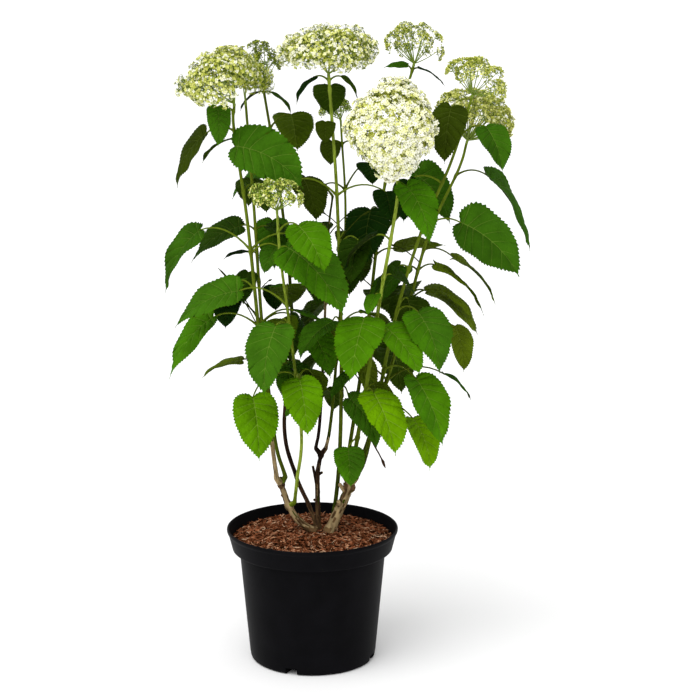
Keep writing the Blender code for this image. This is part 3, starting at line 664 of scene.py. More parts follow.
class Pile:
    """Triangles gathered for one piece, each with the number of its paint."""

    def __init__(self):
        self.points, self.faces, self.tints, self.count = [], [], [], 0

    def add(self, points, faces, tint):
        points = np.asarray(points, float).reshape(-1, 3)
        faces = np.asarray(faces, int).reshape(-1, 3)
        self.points.append(points)
        self.faces.append(faces + self.count)
        self.tints.append(np.broadcast_to(np.asarray(tint, int), len(faces)))
        self.count += len(points)

    def make(self, name, paints, slot, nodes=(), smooth=True):
        """The piece as a mesh that rides on the root body and stands for its CAD nodes."""
        points = np.vstack(self.points) * MM
        faces = np.vstack(self.faces)
        mesh = bpy.data.meshes.new(name)
        mesh.vertices.add(len(points))
        mesh.vertices.foreach_set("co", points.astype(np.float32).ravel())
        mesh.loops.add(faces.size)
        mesh.loops.foreach_set("vertex_index", faces.astype(np.int32).ravel())
        mesh.polygons.add(len(faces))
        mesh.polygons.foreach_set("loop_start", np.arange(0, faces.size, 3, dtype=np.int32))
        mesh.polygons.foreach_set("material_index", np.concatenate(self.tints).astype(np.int32))
        mesh.polygons.foreach_set("use_smooth", np.full(len(faces), smooth))
        for made in paints:
            mesh.materials.append(made)
        mesh.update(calc_edges=True)
        piece = add_object(name, mesh)
        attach(piece, "root")
        if nodes:
            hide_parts(*nodes)
        return piece


def ring_faces(rings, sides):
    """Triangles between rings of points, with the outside facing out."""
    first = np.arange((rings - 1) * sides).reshape(-1, sides)
    following = np.roll(first, -1, axis=1)
    a, b = first.ravel(), following.ravel()
    return np.concatenate([np.stack([a, b, b + sides], 1), np.stack([a, b + sides, a + sides], 1)])


def grid_faces(rows, columns):
    """Triangles of a grid of points, facing up where rows run ahead and columns to the left."""
    corner = (np.arange(rows - 1)[:, None] * columns + np.arange(columns - 1)).ravel()
    ahead = corner + columns
    halves = ([corner, ahead, ahead + 1], [corner, ahead + 1, corner + 1])
    return np.concatenate([np.stack(half, 1) for half in halves])


def rods(pile, paths, radii, sides, tint):
    """Many thin round rods at once: paths is rods x points x 3, and radii has one size a point."""
    paths = np.asarray(paths, float)
    count, length = paths.shape[:2]
    ahead = units(np.gradient(paths, axis=1))
    side = np.cross(units(paths[:, -1] - paths[:, 0]), ASKEW)[:, None]
    side = units(side - ahead * (ahead * side).sum(-1, keepdims=True))
    across = np.cross(ahead, side)
    radii = np.broadcast_to(np.asarray(radii, float), (count, length))[..., None, None]
    points = paths[..., None, :] + radii * circle(side[..., None, :], across[..., None, :], turns(sides))
    faces = ring_faces(length, sides)
    step = np.arange(count) * length * sides
    tints = np.repeat(np.broadcast_to(np.asarray(tint), count), len(faces))
    pile.add(points, faces[None] + step[:, None, None], tints)


def arcs(starts, crests, ends, steps):
    """Bent paths from starts to ends, pulled towards crests."""
    t = np.linspace(0, 1, steps)[:, None]
    starts, crests, ends = (np.asarray(p, float)[:, None] for p in (starts, crests, ends))
    return starts * (1 - t) ** 2 + crests * 2 * t * (1 - t) + ends * t**2


def stamps(pile, template, faces, places, frames, sizes, tints):
    """Copies of one small shape: frames hold each copy's two sides and its way out."""
    places, frames, sizes = np.asarray(places), np.asarray(frames), np.asarray(sizes)
    points = places[:, None] + np.einsum("pk,nkj->npj", template, frames) * sizes[:, None, None]
    step = np.arange(len(places)) * len(template)
    tints = np.asarray(tints)
    if tints.ndim == 1:
        tints = np.repeat(tints, len(faces))
    pile.add(points, faces[None] + step[:, None, None], tints.ravel())


def frames_of(outs, rng):
    """Two sides and the way out of many copies, each turned by chance about its way out."""
    spins = rng.uniform(0, math.tau, len(outs))[:, None]
    side = units(np.cross(outs, ASKEW))
    across = np.cross(outs, side)
    c, s = np.cos(spins), np.sin(spins)
    return np.stack([side * c + across * s, across * c - side * s, outs], axis=1)


# Leaves

TEETH = 29
VEIN_TEETH = (2, 6, 10, 13, 17, 20, 23, 26)
TOOTH_OUT = 0.0135
TOOTH_IN = 0.007
TOOTH_LEAN = 0.011
VEIN_HALF = 0.0042
RIB_HALF = 0.0075
VEIN_GREEN = (0.34, 0.44, 0.08)
VEIN_START_BEND = 2.3
VEIN_SWEEP = 1.15
PUCKER = 0.018
FINE_WAVE = 0.014
SLOW_WAVE = 0.038
LEAF_THICK = 0.45
VEIN_SINK = 0.7
VEIN_STAND = 0.55
RIB_STEPS = 64
# The stretch of edge that tells which way it runs, and the stretch at both ends where teeth fade
EDGE_STEP = 0.004
EDGE_FADE = 0.08
BLADE_COLUMNS = (0, 0, 0.13, 0.28, 0.44, 0.6, 0.76, 0.9, 1)
UNDER_COLUMNS = (0, 1, 3, 5, 7, 8)
BLADE_PATTERNS = 5

# Linear colours of the upper side for each leaf tone, and four of the underside. The darker colours stand for
# leaves in shade: painted shade.
UPPER = (
    (0.0050, 0.0215, 0.0010), (0.0160, 0.043, 0.0014), (0.0275, 0.087, 0.0024), (0.0385, 0.120, 0.0036),
    (0.0465, 0.152, 0.0020), (0.0600, 0.182, 0.0014), (0.0860, 0.226, 0.0008), (0.1270, 0.294, 0.0006),
    (0.0790, 0.122, 0.0035), (0.0270, 0.045, 0.0014),
)
UNDER = ((0.011, 0.022, 0.0012), (0.025, 0.052, 0.0018), (0.048, 0.083, 0.0022), (0.070, 0.112, 0.004))
# The underside that goes with each listed tone; the darker undersides carry the same painted shade as the
# darker tones
UNDERSIDES = (0, 1, 1, 2, 2, 3, 3, 3, 2, 1)
UNDER_FIRST = 2 * len(UPPER)
# Where a leaf without a listed tone begins to darken, and over what distance; the darkening towards the back
# is painted shade
BACK_START, BACK_SPAN = -40, 120
HIGH_START, HIGH_SPAN = 450, 300
FRONT_TONE, BACK_FALL, HIGH_FALL, TONE_CHANCE = 3.2, 1.7, 0.9, 0.6


def vein_colour(colour, lift):
    """The blade's colour drawn towards the veins' paler green, as real veins are, and more so on a bright
    blade, where the extra paling is painted light shining through the leaf.
    """
    share = lift + 0.32 * colour[1] / 0.24
    return tuple(c + share * (w - c) for c, w in zip(colour, VEIN_GREEN))


def leaf_paints():
    """Blade and vein of each upper tone, then blade and vein of each underside tone."""
    paints = []
    for side, tones, lift in (("upper", UPPER, 0.06), ("under", UNDER, 0.08)):
        for index, colour in enumerate(tones):
            vein = vein_colour(colour, lift)
            paints += [
                paint(f"leaf_{side}_{index}", colour, 0.65, 0.02, 0.22, 30, 0.9, 230, cells=True,
                      depth=0.0018),
                paint(f"vein_{side}_{index}", vein, 0.65, 0.02, 0.1, 60, 0.2, 900),
            ]
    return paints


def blade_outline(u):
    """The outline of the drawn leaf, fuller than the coarse one and with a narrow drawn-out tip."""
    body = np.clip(1 - u / 0.94, 0, 1) ** 0.9 * (1 + 2.0 * u) * (1 - np.exp(-u / 0.05)) / 1.13
    return np.hypot(body, 0.28 * (1 - u) ** 0.9 * (1 - np.exp(-u / 0.3)))


def vein_rows():
    """For each row of half a leaf: its share of the edge, its side of a vein and its tooth."""
    rows = []
    for j in range(2 * TEETH + 1):
        share = min(max(j / (2 * TEETH), 0.008), 0.997)
        if j % 2 and j // 2 in VEIN_TEETH:
            rows += [(share, -1, 1), (share, 1, 1)]
        else:
            rows.append((share, 0, j % 2))
    return (np.array(column, float) for column in zip(*rows))


def toothed_edge(share, tooth, rng):
    """How far along and across the edge of half a leaf lies at each share of its length."""
    fine = np.linspace(0, 1, 800) ** 1.5
    along = fine - LOBE_SWEEP * (1 - fine) ** 3 * (1 - np.exp(-fine / 0.012))
    across = blade_outline(fine) / 2
    length = np.concatenate([[0], np.cumsum(np.hypot(np.diff(along), np.diff(across * USUAL_WIDTH)))])
    length /= length[-1]

    def at(values, step=0):
        return np.interp(share + step, length, values)

    ahead, aside = (at(values, EDGE_STEP) - at(values, -EDGE_STEP) for values in (along, across))
    size = np.hypot(ahead, aside * USUAL_WIDTH)
    fade = np.clip(share / EDGE_FADE, 0, 1) * np.clip((1 - share) / EDGE_FADE, 0, 1)
    out = np.where(tooth > 0, TOOTH_OUT, -TOOTH_IN) * fade * rng.uniform(0.45, 1.5, len(fade))
    swell = rng.uniform(0, math.tau, 3)
    out = out + fade * 0.007 * np.sin(8 * share + swell[0]) * np.sin(19 * share + swell[1])
    lean = tooth * TOOTH_LEAN * fade
    return (at(along) - out * aside * USUAL_WIDTH / size + lean * ahead / size,
            at(across) + out * ahead / size / USUAL_WIDTH + lean * aside / size)


class Blade:
    """The flat pattern of half a leaf: rows follow the side veins and end at the teeth."""

    def __init__(self, rng):
        self.share, pair, tooth = vein_rows()
        edge_along, edge_across = toothed_edge(self.share, tooth, rng)
        start = self.share**VEIN_START_BEND
        v = np.array(BLADE_COLUMNS)[None]
        self.along = start[:, None] + (edge_along - start)[:, None] * v**VEIN_SWEEP
        self.along = self.along + pair[:, None] * VEIN_HALF * (1 - 0.75 * v)
        self.across = edge_across[:, None] * v
        self.across[:, 1] = np.minimum(RIB_HALF * (1.3 - start), 0.3 * edge_across)
        self.v = np.broadcast_to(v, self.across.shape)
        # Full fades the waves out where the leaf narrows, so that both halves meet at the tip.
        self.full = np.clip(edge_across / 0.13, 0, 1)[:, None]
        veins = [(2 * tooth_index + 1) / (2 * TEETH) for tooth_index in VEIN_TEETH]
        phase = np.interp(self.share, [0, *veins, 1], np.arange(len(veins) + 2)) % 1
        self.pucker = np.sin(math.pi * phase)[:, None] * np.sin(math.pi * np.minimum(v * 1.04, 1)) ** 0.7
        is_vein = np.abs(pair)[:, None]
        self.rib = is_vein * (1 - v) + 0.15 * is_vein
        self.rib[:, 0] = 1.6 * (1.1 - start)
        self.set_faces(pair)

    def set_faces(self, pair):
        """The triangles of both skins, each with 1 where it is on a vein and 0 where it isn't."""
        rows, columns = self.along.shape
        row = np.repeat(np.arange(rows - 1), columns - 1)
        column = np.tile(np.arange(columns - 1), rows - 1)
        on_vein = (pair[row] == -1) & (pair[row + 1] == 1)
        vein = on_vein & (column < columns - 2) | (column == 0)
        kept = vein[np.isin(column, UNDER_COLUMNS[:-1])]
        self.upper_vein = np.concatenate([vein, vein]).astype(int)
        self.under_vein = np.concatenate([kept, kept]).astype(int)
        self.upper_faces = grid_faces(rows, columns)
        self.under_faces = grid_faces(rows, len(UNDER_COLUMNS))


def blade_points(leaf, start, along, across, lift):
    """The flat pattern bent into the leaf's droop, turn and roll."""
    heading, roll = math.radians(leaf.heading + leaf.turn), math.radians(leaf.roll)
    u = np.clip(along / leaf.blade, 0, 1)
    table = np.linspace(0, 1, RIB_STEPS + 1)

    def ahead_at(share):
        pitch = -np.radians(leaf.droop + BLADE_BEND * (2 * share - 1))
        level = np.cos(pitch)
        return np.stack([math.cos(heading) * level, math.sin(heading) * level, np.sin(pitch)], -1)

    steps = ahead_at((table[1:] + table[:-1]) / 2) * leaf.blade / RIB_STEPS
    line = np.vstack([start, start + np.cumsum(steps, axis=0)])
    on_line = np.stack([np.interp(u, table, line[:, axis]) for axis in range(3)], -1)
    ahead = ahead_at(u)
    level = np.array([-math.sin(heading), math.cos(heading), 0])
    left = level * math.cos(roll) + np.cross(ahead, level) * math.sin(roll)
    past_tip = ahead * (along - u * leaf.blade)[..., None]
    return on_line + past_tip + left * across[..., None] + np.cross(ahead, left) * lift[..., None]


def add_blade(pile, blades, leaf, tone, under, chance):
    """A toothed leaf blade with an upper and a lower skin that meet at its edge."""
    start = leaf_stalk(leaf)[-1]
    size = leaf.blade
    cup = BLADE_LIFT * chance.uniform(0.3, 1.1)
    swerve = chance.uniform(-0.06, 0.06) * size
    # On some leaves one half is one tone darker: painted shade of the fold along the midrib.
    painted_shade_side = chance.choice((1, -1, 0, 0))
    cut = (slice(None), list(UNDER_COLUMNS))
    for side in (1, -1):
        blade = chance.choice(blades)
        along = blade.along * size
        across = blade.across * size * leaf.width * chance.uniform(0.95, 1.05)
        fine, slow = (
            np.sin(math.tau * (chance.uniform(*waves) * blade.share[:, None] + chance.random()))
            for waves in ((2.2, 3.6), (0.6, 1.1))
        )
        wave = (FINE_WAVE * fine + SLOW_WAVE * slow) * blade.v**2
        lift = cup * across + size * blade.full * (PUCKER * blade.pucker + wave)
        upper = lift - VEIN_SINK * np.minimum(blade.rib, 1)
        lower = lift - LEAF_THICK * (1 - blade.v**6) - VEIN_STAND * blade.rib * (1 - blade.v**3)
        aside = side * across + swerve * np.clip(blade.along, 0, 1) ** 2.5
        own = tone - 1 if side == painted_shade_side and DEEP < tone < DRAB else tone
        points = blade_points(leaf, start, along, aside, upper)
        pile.add(points, blade.upper_faces[:, ::side], 2 * own + blade.upper_vein)
        points = blade_points(leaf, start, along[cut], aside[cut], lower[cut])
        pile.add(points, blade.under_faces[:, ::-side], UNDER_FIRST + 2 * under + blade.under_vein)


def dealt_tones(leaf, tone, chance):
    """The listed tone, or one by rule: darker at the back, as painted shade, and darker higher up, with some
    chance in it.
    """
    depth = min(max((leaf.node[1] - BACK_START) / BACK_SPAN, 0), 1)
    height = min(max((leaf.node[2] - HIGH_START) / HIGH_SPAN, 0), 1)
    if tone is None:
        change = chance.uniform(-TONE_CHANCE, TONE_CHANCE)
        # Painted shade: a leaf further back gets a darker tone.
        tone = round(FRONT_TONE - BACK_FALL * depth - HIGH_FALL * height + change)
        tone = min(max(tone, BLACK), MID)
    return tone, UNDERSIDES[tone]


# Canes and stems

BARK = (
    (0.016, 0.009, 0.006), (0.048, 0.025, 0.013), (0.125, 0.072, 0.032), (0.330, 0.240, 0.120),
    (0.030, 0.044, 0.003), (0.068, 0.096, 0.005), (0.118, 0.168, 0.010), (0.240, 0.320, 0.036),
)
NODE_SWELL = 0.38
NODE_SPAN = 3.2
KNOT_OVERLAP = 4
FOOT_SWELL = 0.5
FOOT_FADE = 60
CANE_STEPS = 26
STEM_STEPS = 16
STEM_FLARE = 0.25
STEM_FLARE_SPAN = 6
STUB_STEPS = 5
STUB_SIDES = 9
LIMB_SIDES = 14
END_SIDES = 10
STEM_ROUGHNESS = 0.12
CANE_ROUGHNESS = 0.035
STEM_FLAKES = 40
CANE_FLAKES = 14
WOOD_TOP = 330


def bark_paints():
    """The first four tones are rough old bark, and the others are smoother green stalk."""
    old, green = (0.8, 0.02, 0.4, 160, 0.7), (0.6, 0.02, 0.25, 160, 0.3)
    return [
        paint(f"bark_{index}", colour, *(old if index <= TAN else green), 900, stretch=0.18)
        for index, colour in enumerate(BARK)
    ]


def ripple(angle, height, seed):
    """A smooth rough pattern round and along a limb, from about -1 to 1."""
    return (np.sin(3 * angle + height * 0.11 + seed) * np.sin(height * 0.23 + 2 * seed)
            + 0.6 * np.sin(7 * angle - height * 0.05 + 3 * seed)
            + 0.5 * np.sin(5 * angle + height * 0.61 + seed * seed)) / 1.6


def limb(pile, line, radii, stops, seed, roughness, sides=LIMB_SIDES):
    """A long round limb with relief, coloured by the height stops."""
    angles = turns(sides)
    run = np.concatenate([[0], np.cumsum(np.linalg.norm(np.diff(line, axis=0), axis=1))])
    rings = []
    for point, radius, length, (side, across) in zip(line, radii, run, sides_along(line)):
        size = radius * (1 + roughness * ripple(angles, length, seed))
        rings.append(point + size[:, None] * circle(side, across, angles))
    points = np.array(rings)
    faces = ring_faces(len(line), sides)
    height = points.reshape(-1, 3)[faces[:, 0], 2]
    patches = ripple(np.tile(angles, len(line) - 1), np.repeat(run[:-1], sides) * 0.6, seed + 5)
    heights, tones = zip(*stops)
    tone = np.interp(height, heights, tones) + np.tile((0.4 + 4 * roughness) * patches, 2)
    pile.add(points, faces, np.clip(np.round(tone), min(tones), max(tones)))


def close_end(pile, centre, radius, out, tint, bulge=0.35):
    """A low dome that closes the end of a limb."""
    side = unit(np.cross(out, ASKEW))
    ring = circle(side, np.cross(out, side), turns(END_SIDES)) * radius
    dome = out * radius * bulge
    points = np.vstack([centre + ring, centre + ring * 0.7 + dome * 0.7, [centre + dome]])
    fan = [(END_SIDES + k, END_SIDES + (k + 1) % END_SIDES, 2 * END_SIDES) for k in range(END_SIDES)]
    pile.add(points, np.vstack([ring_faces(2, END_SIDES), fan]), tint)


def stub(pile, foot, heading, pitch, length, radius, tone, seed):
    """A short dead stub with a ragged cut end."""
    out = way(heading, pitch)
    end = foot + out * length
    line = smooth_line([foot, foot + out * length * 0.5, end], STUB_STEPS)
    radii = radius * (1.25 - 0.35 * np.linspace(0, 1, len(line)))
    limb(pile, line, radii, ((0, tone), (1000, tone)), seed, STEM_ROUGHNESS, STUB_SIDES)
    close_end(pile, end, radii[-1], out, TAN, 0.15)


def flakes(pile, line, radii, count, tints, chance):
    """Thin strips of bark that lift away from an old stem."""
    ahead = tangents(line)
    for _ in range(count):
        first = chance.randrange(len(line) - 6)
        steps = min(chance.randrange(4, 10), len(line) - 1 - first)
        angle = chance.uniform(0, math.tau)
        width = chance.uniform(0.1, 0.3)
        rows = []
        for k in range(steps + 1):
            off_middle = abs(2 * k / steps - 1)
            side = unit(np.cross(ahead[first + k], ASKEW))
            across = np.cross(ahead[first + k], side)
            lift = 1.05 + 0.10 * off_middle**2 * chance.uniform(0.6, 1.6)
            angles = angle + np.array([-1, 0, 1]) * width * (1 - 0.5 * off_middle)
            rows.append(line[first + k] + radii[first + k] * lift * circle(side, across, angles))
        faces = grid_faces(steps + 1, 3)
        tint = chance.choice(tints)
        pile.add(rows, faces, tint)
        pile.add(rows, faces[:, ::-1], tint)


# Each stub: its height on the stem, heading, pitch, length, radius and tone.
STUBS = {
    "left_stem": ((270, 100, 50, 14, 2.6, DARK_BROWN), (250, 150, 30, 9, 2.2, BROWN)),
    "centre_stem": ((262, 190, 79, 36, 2.3, BLACKISH), (283, 350, 30, 9, 2.0, BLACKISH),
                    (312, 330, 62, 17, 2.0, BLACKISH), (240, 170, 35, 8, 1.8, DARK_BROWN)),
    "right_stem": ((236, 250, 45, 15, 3.2, TAN), (255, 200, 55, 20, 3.0, TAN),
                   (228, 20, 40, 10, 2.6, BROWN), (262, 70, 60, 16, 3.0, DARK_BROWN)),
}


def add_stem(name, stem, chance):
    """An old stem with swollen knots, peeling bark and dead stubs, in one piece."""
    pile = Pile()
    line = smooth_line(stem.points, STEM_STEPS)
    radii = stem.foot_radius + (stem.tip_radius - stem.foot_radius) * np.linspace(0, 1, len(line))
    radii = radii * (1 + STEM_FLARE * np.exp(-((line[:, 2] - SOIL_TOP) / STEM_FLARE_SPAN) ** 2))
    for knot in stem.knots.values():
        away = np.linalg.norm(line - at_height(line, knot.height), axis=1)
        radii = np.maximum(radii, np.sqrt(np.maximum(knot.radius**2 - (away * 0.75) ** 2, 0)))
    seed = len(name)
    limb(pile, line, radii, stem.tones, seed, STEM_ROUGHNESS)
    close_end(pile, line[-1], radii[-1], tangents(line)[-1], stem.tones[-1][1], 0.5)
    flakes(pile, line, radii, STEM_FLAKES, (TAN, BROWN, BROWN, OLIVE), chance)
    for height, *shape in STUBS[name]:
        stub(pile, at_height(line, height), *shape, seed)
    pile.make(name + "_bark", bark_paints_made, "bark", (name,))


def add_cane(name, cane, chance):
    """The whole cane in one piece, with a swollen node at each pair of leaves."""
    pile = Pile()
    line = cane_line(cane, CANE_STEPS)
    radii = cane_radii(cane, line)
    for pair in cane.pairs:
        away = np.linalg.norm(line - at_height(line, pair.height), axis=1)
        radii = radii * (1 + NODE_SWELL * np.exp(-((away / NODE_SPAN) ** 2)))
    radii = radii * (1 + FOOT_SWELL * np.exp(-np.linspace(0, 1, len(line)) * FOOT_FADE))
    # The foot is carried on into the knot, so that no gap shows between them.
    line = np.vstack([line[0] - unit(line[1] - line[0]) * KNOT_OVERLAP, line])
    radii = np.concatenate([radii[:1], radii])
    limb(pile, line, radii, cane.tones, 2 + len(name) * 0.7, CANE_ROUGHNESS)
    close_end(pile, line[-1], radii[-1], tangents(line)[-1], cane.tones[-1][1])
    woody = line[:, 2] < WOOD_TOP
    if cane.tones[0][1] in (TAN, BROWN) and woody.sum() > 12:
        flakes(pile, line[woody], radii[woody], CANE_FLAKES, (TAN, TAN, BROWN), chance)
    pile.make(name + "_cane_bark", bark_paints_made, "bark", (name + "_cane",))


WISP_STEPS = 12
STALK_STEPS = 9
# Leaf stalks nearer than this depth are the lighter green and those behind it the darker olive: painted shade
# at the back.
BRIGHT_STALKS_TO = 20
# Thin stalks whose leaves are small, withered or gone: height, heading, reach and rise of each
WISPS = {
    "left_rear": ((505, 178, 66, 90), (490, 176, 54, 92), (560, 20, 20, 16)),
    "inner_left": ((480, 350, 34, 30), (640, 120, 30, 28)),
    "centre": ((470, 10, 30, 22), (430, 330, 26, 30), (640, 20, 40, 36)),
    "centre_rear": ((560, 0, 44, 28), (640, 170, 40, 34)),
    "centre_front": ((640, 20, 50, 44), (560, 40, 36, 30), (455, 340, 26, 26)),
    "right_rear": ((560, 200, 44, 26), (600, 230, 30, 20), (420, 160, 30, 24)),
    "right_inner": ((345, 350, 24, -46), (500, 200, 30, 22)),
    "right_outer": ((500, 20, 38, 8), (600, 190, 50, 30)),
}


def add_wisps(pile, name, line, rng):
    """The thin stalks of one cane, each with a slight wave and a dry end."""
    share = np.linspace(0, 1, WISP_STEPS)
    for height, heading, reach, rise in WISPS.get(name, ()):
        foot = at_height(line, height)
        end = foot + way(heading) * reach + UP * rise
        path = arcs([foot], [(foot + end) / 2 + UP * reach * 0.22], [end], WISP_STEPS)[0]
        wave = np.sin(2.2 * math.pi * share) * share * 1.6
        path = path + np.cross(way(heading), UP) * wave[:, None] + rng.normal(0, 0.18, path.shape)
        radii = (1 - 0.4 * share) * (1.5 if rise < 0 else 1)
        radii[-4:] *= (1.0, 2.3, 2.0, 0.5)
        rods(pile, [path], radii, 6, DARK_BROWN if rise < 0 else DARK_OLIVE)


def add_foliage(name, leaves, line, patterns, chance):
    """The leaf stalks and the blades of one mass, each kind in its own piece."""
    stalks, blades = Pile(), Pile()
    _, crests, ends = zip(*(stalk_bend(leaf) for leaf, _ in leaves))
    share = np.linspace(0, 1, STALK_STEPS)
    profile = 1.45 - 0.35 * share + 0.8 * np.exp(-share * 9)
    tints = [OLIVE_GREEN if leaf.node[1] < BRIGHT_STALKS_TO else OLIVE for leaf, _ in leaves]
    rods(stalks, arcs([leaf.node for leaf, _ in leaves], crests, ends, STALK_STEPS), profile, 7, tints)
    add_wisps(stalks, name, line, np.random.default_rng(len(leaves)))
    for leaf, tone in leaves:
        tone, under = dealt_tones(leaf, tone, chance)
        add_blade(blades, patterns, leaf, tone, under, chance)
    stalks.make(name + "_leaf_stalks", bark_paints_made, "bark")
    blades.make(name + "_leaves", leaf_paints_made, "leaf", (name + "_foliage",))


# Flower heads

PETALS = (
    (0.97, 0.96, 0.80), (0.93, 0.93, 0.52), (0.70, 0.72, 0.19), (0.43, 0.47, 0.055),
    (0.23, 0.29, 0.014), (0.062, 0.100, 0.004), (0.38, 0.39, 0.085), (0.19, 0.27, 0.03),
    (0.35, 0.50, 0.070),
)
WHITE, CREAM, PALE_LIME, LIME, GREEN_LIME, MOSS, TAWNY, RAY, FRESH = range(9)
FORK_REACH = 4
TAPER_CENTRE = 12
SAG_SPREAD = 0.45
# How far a full dome and its core reach below the middle, as a share of half the head's height
FULL_BELOW = 0.42
CORE_BELOW = 0.3
# Full heads: clusters lie at a share of the full size, spread over a share of their spacing
CLUSTER_SHARE = 0.9
CLUSTER_SPREAD = 0.66
CLUSTER_STALK = 7
FORK_SPACING, FORK_SHARE = 34, 0.52
# Open heads: outer and inner rays, and how far the twigs spread and the twigs and buds rise
OUTER_SHARE, INNER_SHARE = 0.84, 0.5
OUTER_DROP = 4
TWIG_SPREAD = 0.42
TWIG_RISE, BUD_RISE = 7, 3.4
THIN_RAYS = 0.72

# A full head has clusters at a spacing, each with so many florets of a size between two. The petals'
# tones run from the near list to the far one along the far way, which is a heading in the picture: 0
# is to the right and 90 is up. Lumps are in millimetres. Taper narrows the front and the back. Sag is
# how far the lower half hangs, in millimetres, and where across the head, from -1 to 1. The shape
# gives, for levels from -1 at the foot to 1 at the top, the share of the full reach to the left and
# to the right.
Bloom = namedtuple("Bloom", "spacing florets size near far far_way lumps taper sag shape")
ROUND = ((-1, 1, 1), (1, 1, 1))
BLOOMS = {
    "left_front": Bloom(
        10, 8, (1.9, 3.1), (WHITE, CREAM, PALE_LIME, PALE_LIME, LIME, LIME, GREEN_LIME, MOSS),
        (WHITE, WHITE, CREAM, PALE_LIME, PALE_LIME, LIME), 320, 6, 0, (25, 0.2),
        ((-1, 0.7, 0.8), (-0.75, 0.8, 0.8), (-0.5, 1.08, 0.9), (-0.25, 1.08, 0.95), (0, 0.84, 0.88),
         (0.45, 0.86, 0.78), (1, 0.8, 0.5)),
    ),
    "left_rear": Bloom(
        9.5, 7, (1.8, 2.7), (LIME, LIME, GREEN_LIME, GREEN_LIME, MOSS),
        (PALE_LIME, LIME, LIME, GREEN_LIME), 140, 4, 0, (0, 0), ROUND,
    ),
    "centre_front": Bloom(
        10, 8, (2.0, 3.3), (WHITE, WHITE, WHITE, CREAM, CREAM, PALE_LIME),
        (WHITE, CREAM, PALE_LIME, LIME, GREEN_LIME, MOSS), 20, 6, 0, (14, 0.35),
        ((-1, 0.9, 1), (-0.4, 1, 0.95), (0.3, 0.92, 1.02), (1, 0.7, 1.1)),
    ),
    "right_front": Bloom(
        10, 8, (3.0, 4.8), (WHITE, WHITE, WHITE, WHITE, WHITE, CREAM),
        (WHITE, WHITE, CREAM, CREAM, PALE_LIME), 170, 6, 0.42, (0, 0),
        ((-1, 0.35, 0.7), (-0.68, 0.45, 0.85), (-0.4, 0.8, 0.92), (0, 1, 0.97), (0.5, 1, 1),
         (0.75, 0.78, 1), (1, 0.5, 1)),
    ),
}
# An open head has rays at a spacing, each with so many twigs and each twig with so many buds over a
# spread, and for each twig so many open florets.
Spray = namedtuple(
    "Spray", "spacing twigs buds spread bud_size tones florets sag taper shape",
    defaults=((0, 0), 0, ROUND),
)
SPRAYS = {
    "inner_left": Spray(
        25, 11, 14, 4.8, 1.05, (MOSS, MOSS, GREEN_LIME, GREEN_LIME, LIME), 0,
        shape=((-1, 1.4, 1.15), (1, 1.4, 1.15)),
    ),
    "front_shoot": Spray(
        22, 11, 13, 4.6, 1.05, (FRESH, FRESH, RAY, GREEN_LIME, GREEN_LIME, PALE_LIME), 1.6, (9, 0.4),
    ),
    "centre_rear": Spray(22, 10, 13, 4.6, 1.0, (FRESH, FRESH, GREEN_LIME, RAY, MOSS), 0.8),
    "right_rear": Spray(27, 8, 11, 6.4, 1.15, (PALE_LIME, LIME, LIME, GREEN_LIME, MOSS), 1.3, (13, 0.6)),
    "right_inner": Spray(27, 8, 11, 6.0, 1.2, (PALE_LIME, LIME, LIME, GREEN_LIME), 1.5, (16, 0.7)),
    "right_outer": Spray(
        22, 10, 13, 4.8, 0.95, (TAWNY, TAWNY, LIME, PALE_LIME, GREEN_LIME), 2.4,
        shape=((-1, 1, 1), (-0.2, 1.05, 1), (0.3, 1.35, 1), (1, 1.35, 1)),
    ),
}


PETAL = ((0.06, 0, 0.02), (0.56, -0.44, 0.20), (1.0, 0, 0.30), (0.56, 0.44, 0.20))
PETAL_FACES = 8


def floret_template():
    """Four pointed petals, each folded along its middle, round a small bud."""
    points, faces = [], []
    for first in range(0, 16, 4):
        c, s = math.cos(first * math.pi / 8), math.sin(first * math.pi / 8)
        points += [(x * c - y * s, x * s + y * c, z) for x, y, z in PETAL]
        faces += [(first, first + 1, first + 2), (first, first + 2, first + 3)]
    points += [(0.18, 0, 0.04), (0, 0.18, 0.04), (-0.18, 0, 0.04), (0, -0.18, 0.04), (0, 0, 0.34)]
    faces += [(16 + a, 16 + (a + 1) % 4, 20) for a in range(4)]
    return np.array(points), np.array(faces)


def bud_template():
    """A small round bud with eight faces."""
    points = [(1, 0, 0), (0, 1, 0), (-1, 0, 0), (0, -1, 0), (0, 0, 1.2), (0, 0, -1)]
    faces = [(a, (a + 1) % 4, 4) for a in range(4)] + [((a + 1) % 4, a, 5) for a in range(4)]
    return np.array(points, float), np.array(faces)


def around(centres, outs, each, spread, rise, rng):
    """Several points round each centre, on a small dome that faces the way out."""
    count = len(centres) * each
    outs = np.repeat(outs, each, axis=0)
    frames = frames_of(outs, rng)
    order = np.tile(np.arange(each), len(centres))
    angle = np.radians(order * GOLDEN_ANGLE) + rng.uniform(-0.4, 0.4, count)
    reach = spread * np.sqrt((order + 0.5) / each) * rng.uniform(0.85, 1.15, count)
    flat = frames[:, 0] * np.cos(angle)[:, None] + frames[:, 1] * np.sin(angle)[:, None]
    height = rise * (1 - (reach / spread) ** 2 * 0.8) + rng.uniform(-0.12, 0.12, count) * spread
    places = np.repeat(centres, each, axis=0) + flat * reach[:, None] + outs * height[:, None]
    return places, units(outs + flat * (reach / spread)[:, None] * 0.75)


def picked(tones, count, rng):
    """One of the tones, by chance, for each of many copies."""
    return np.array(tones)[rng.integers(0, len(tones), count)]


def add_florets(pile, places, outs, sizes, tones, rng):
    """Florets at many places, tilted a little by chance, with lime middles."""
    template, faces = floret_template()
    outs = units(outs + rng.normal(0, 0.28, outs.shape))
    tints = np.repeat(np.asarray(tones)[:, None], len(faces), axis=1)
    tints[:, PETAL_FACES:] = LIME
    stamps(pile, template, faces, places, frames_of(outs, rng), sizes, tints)


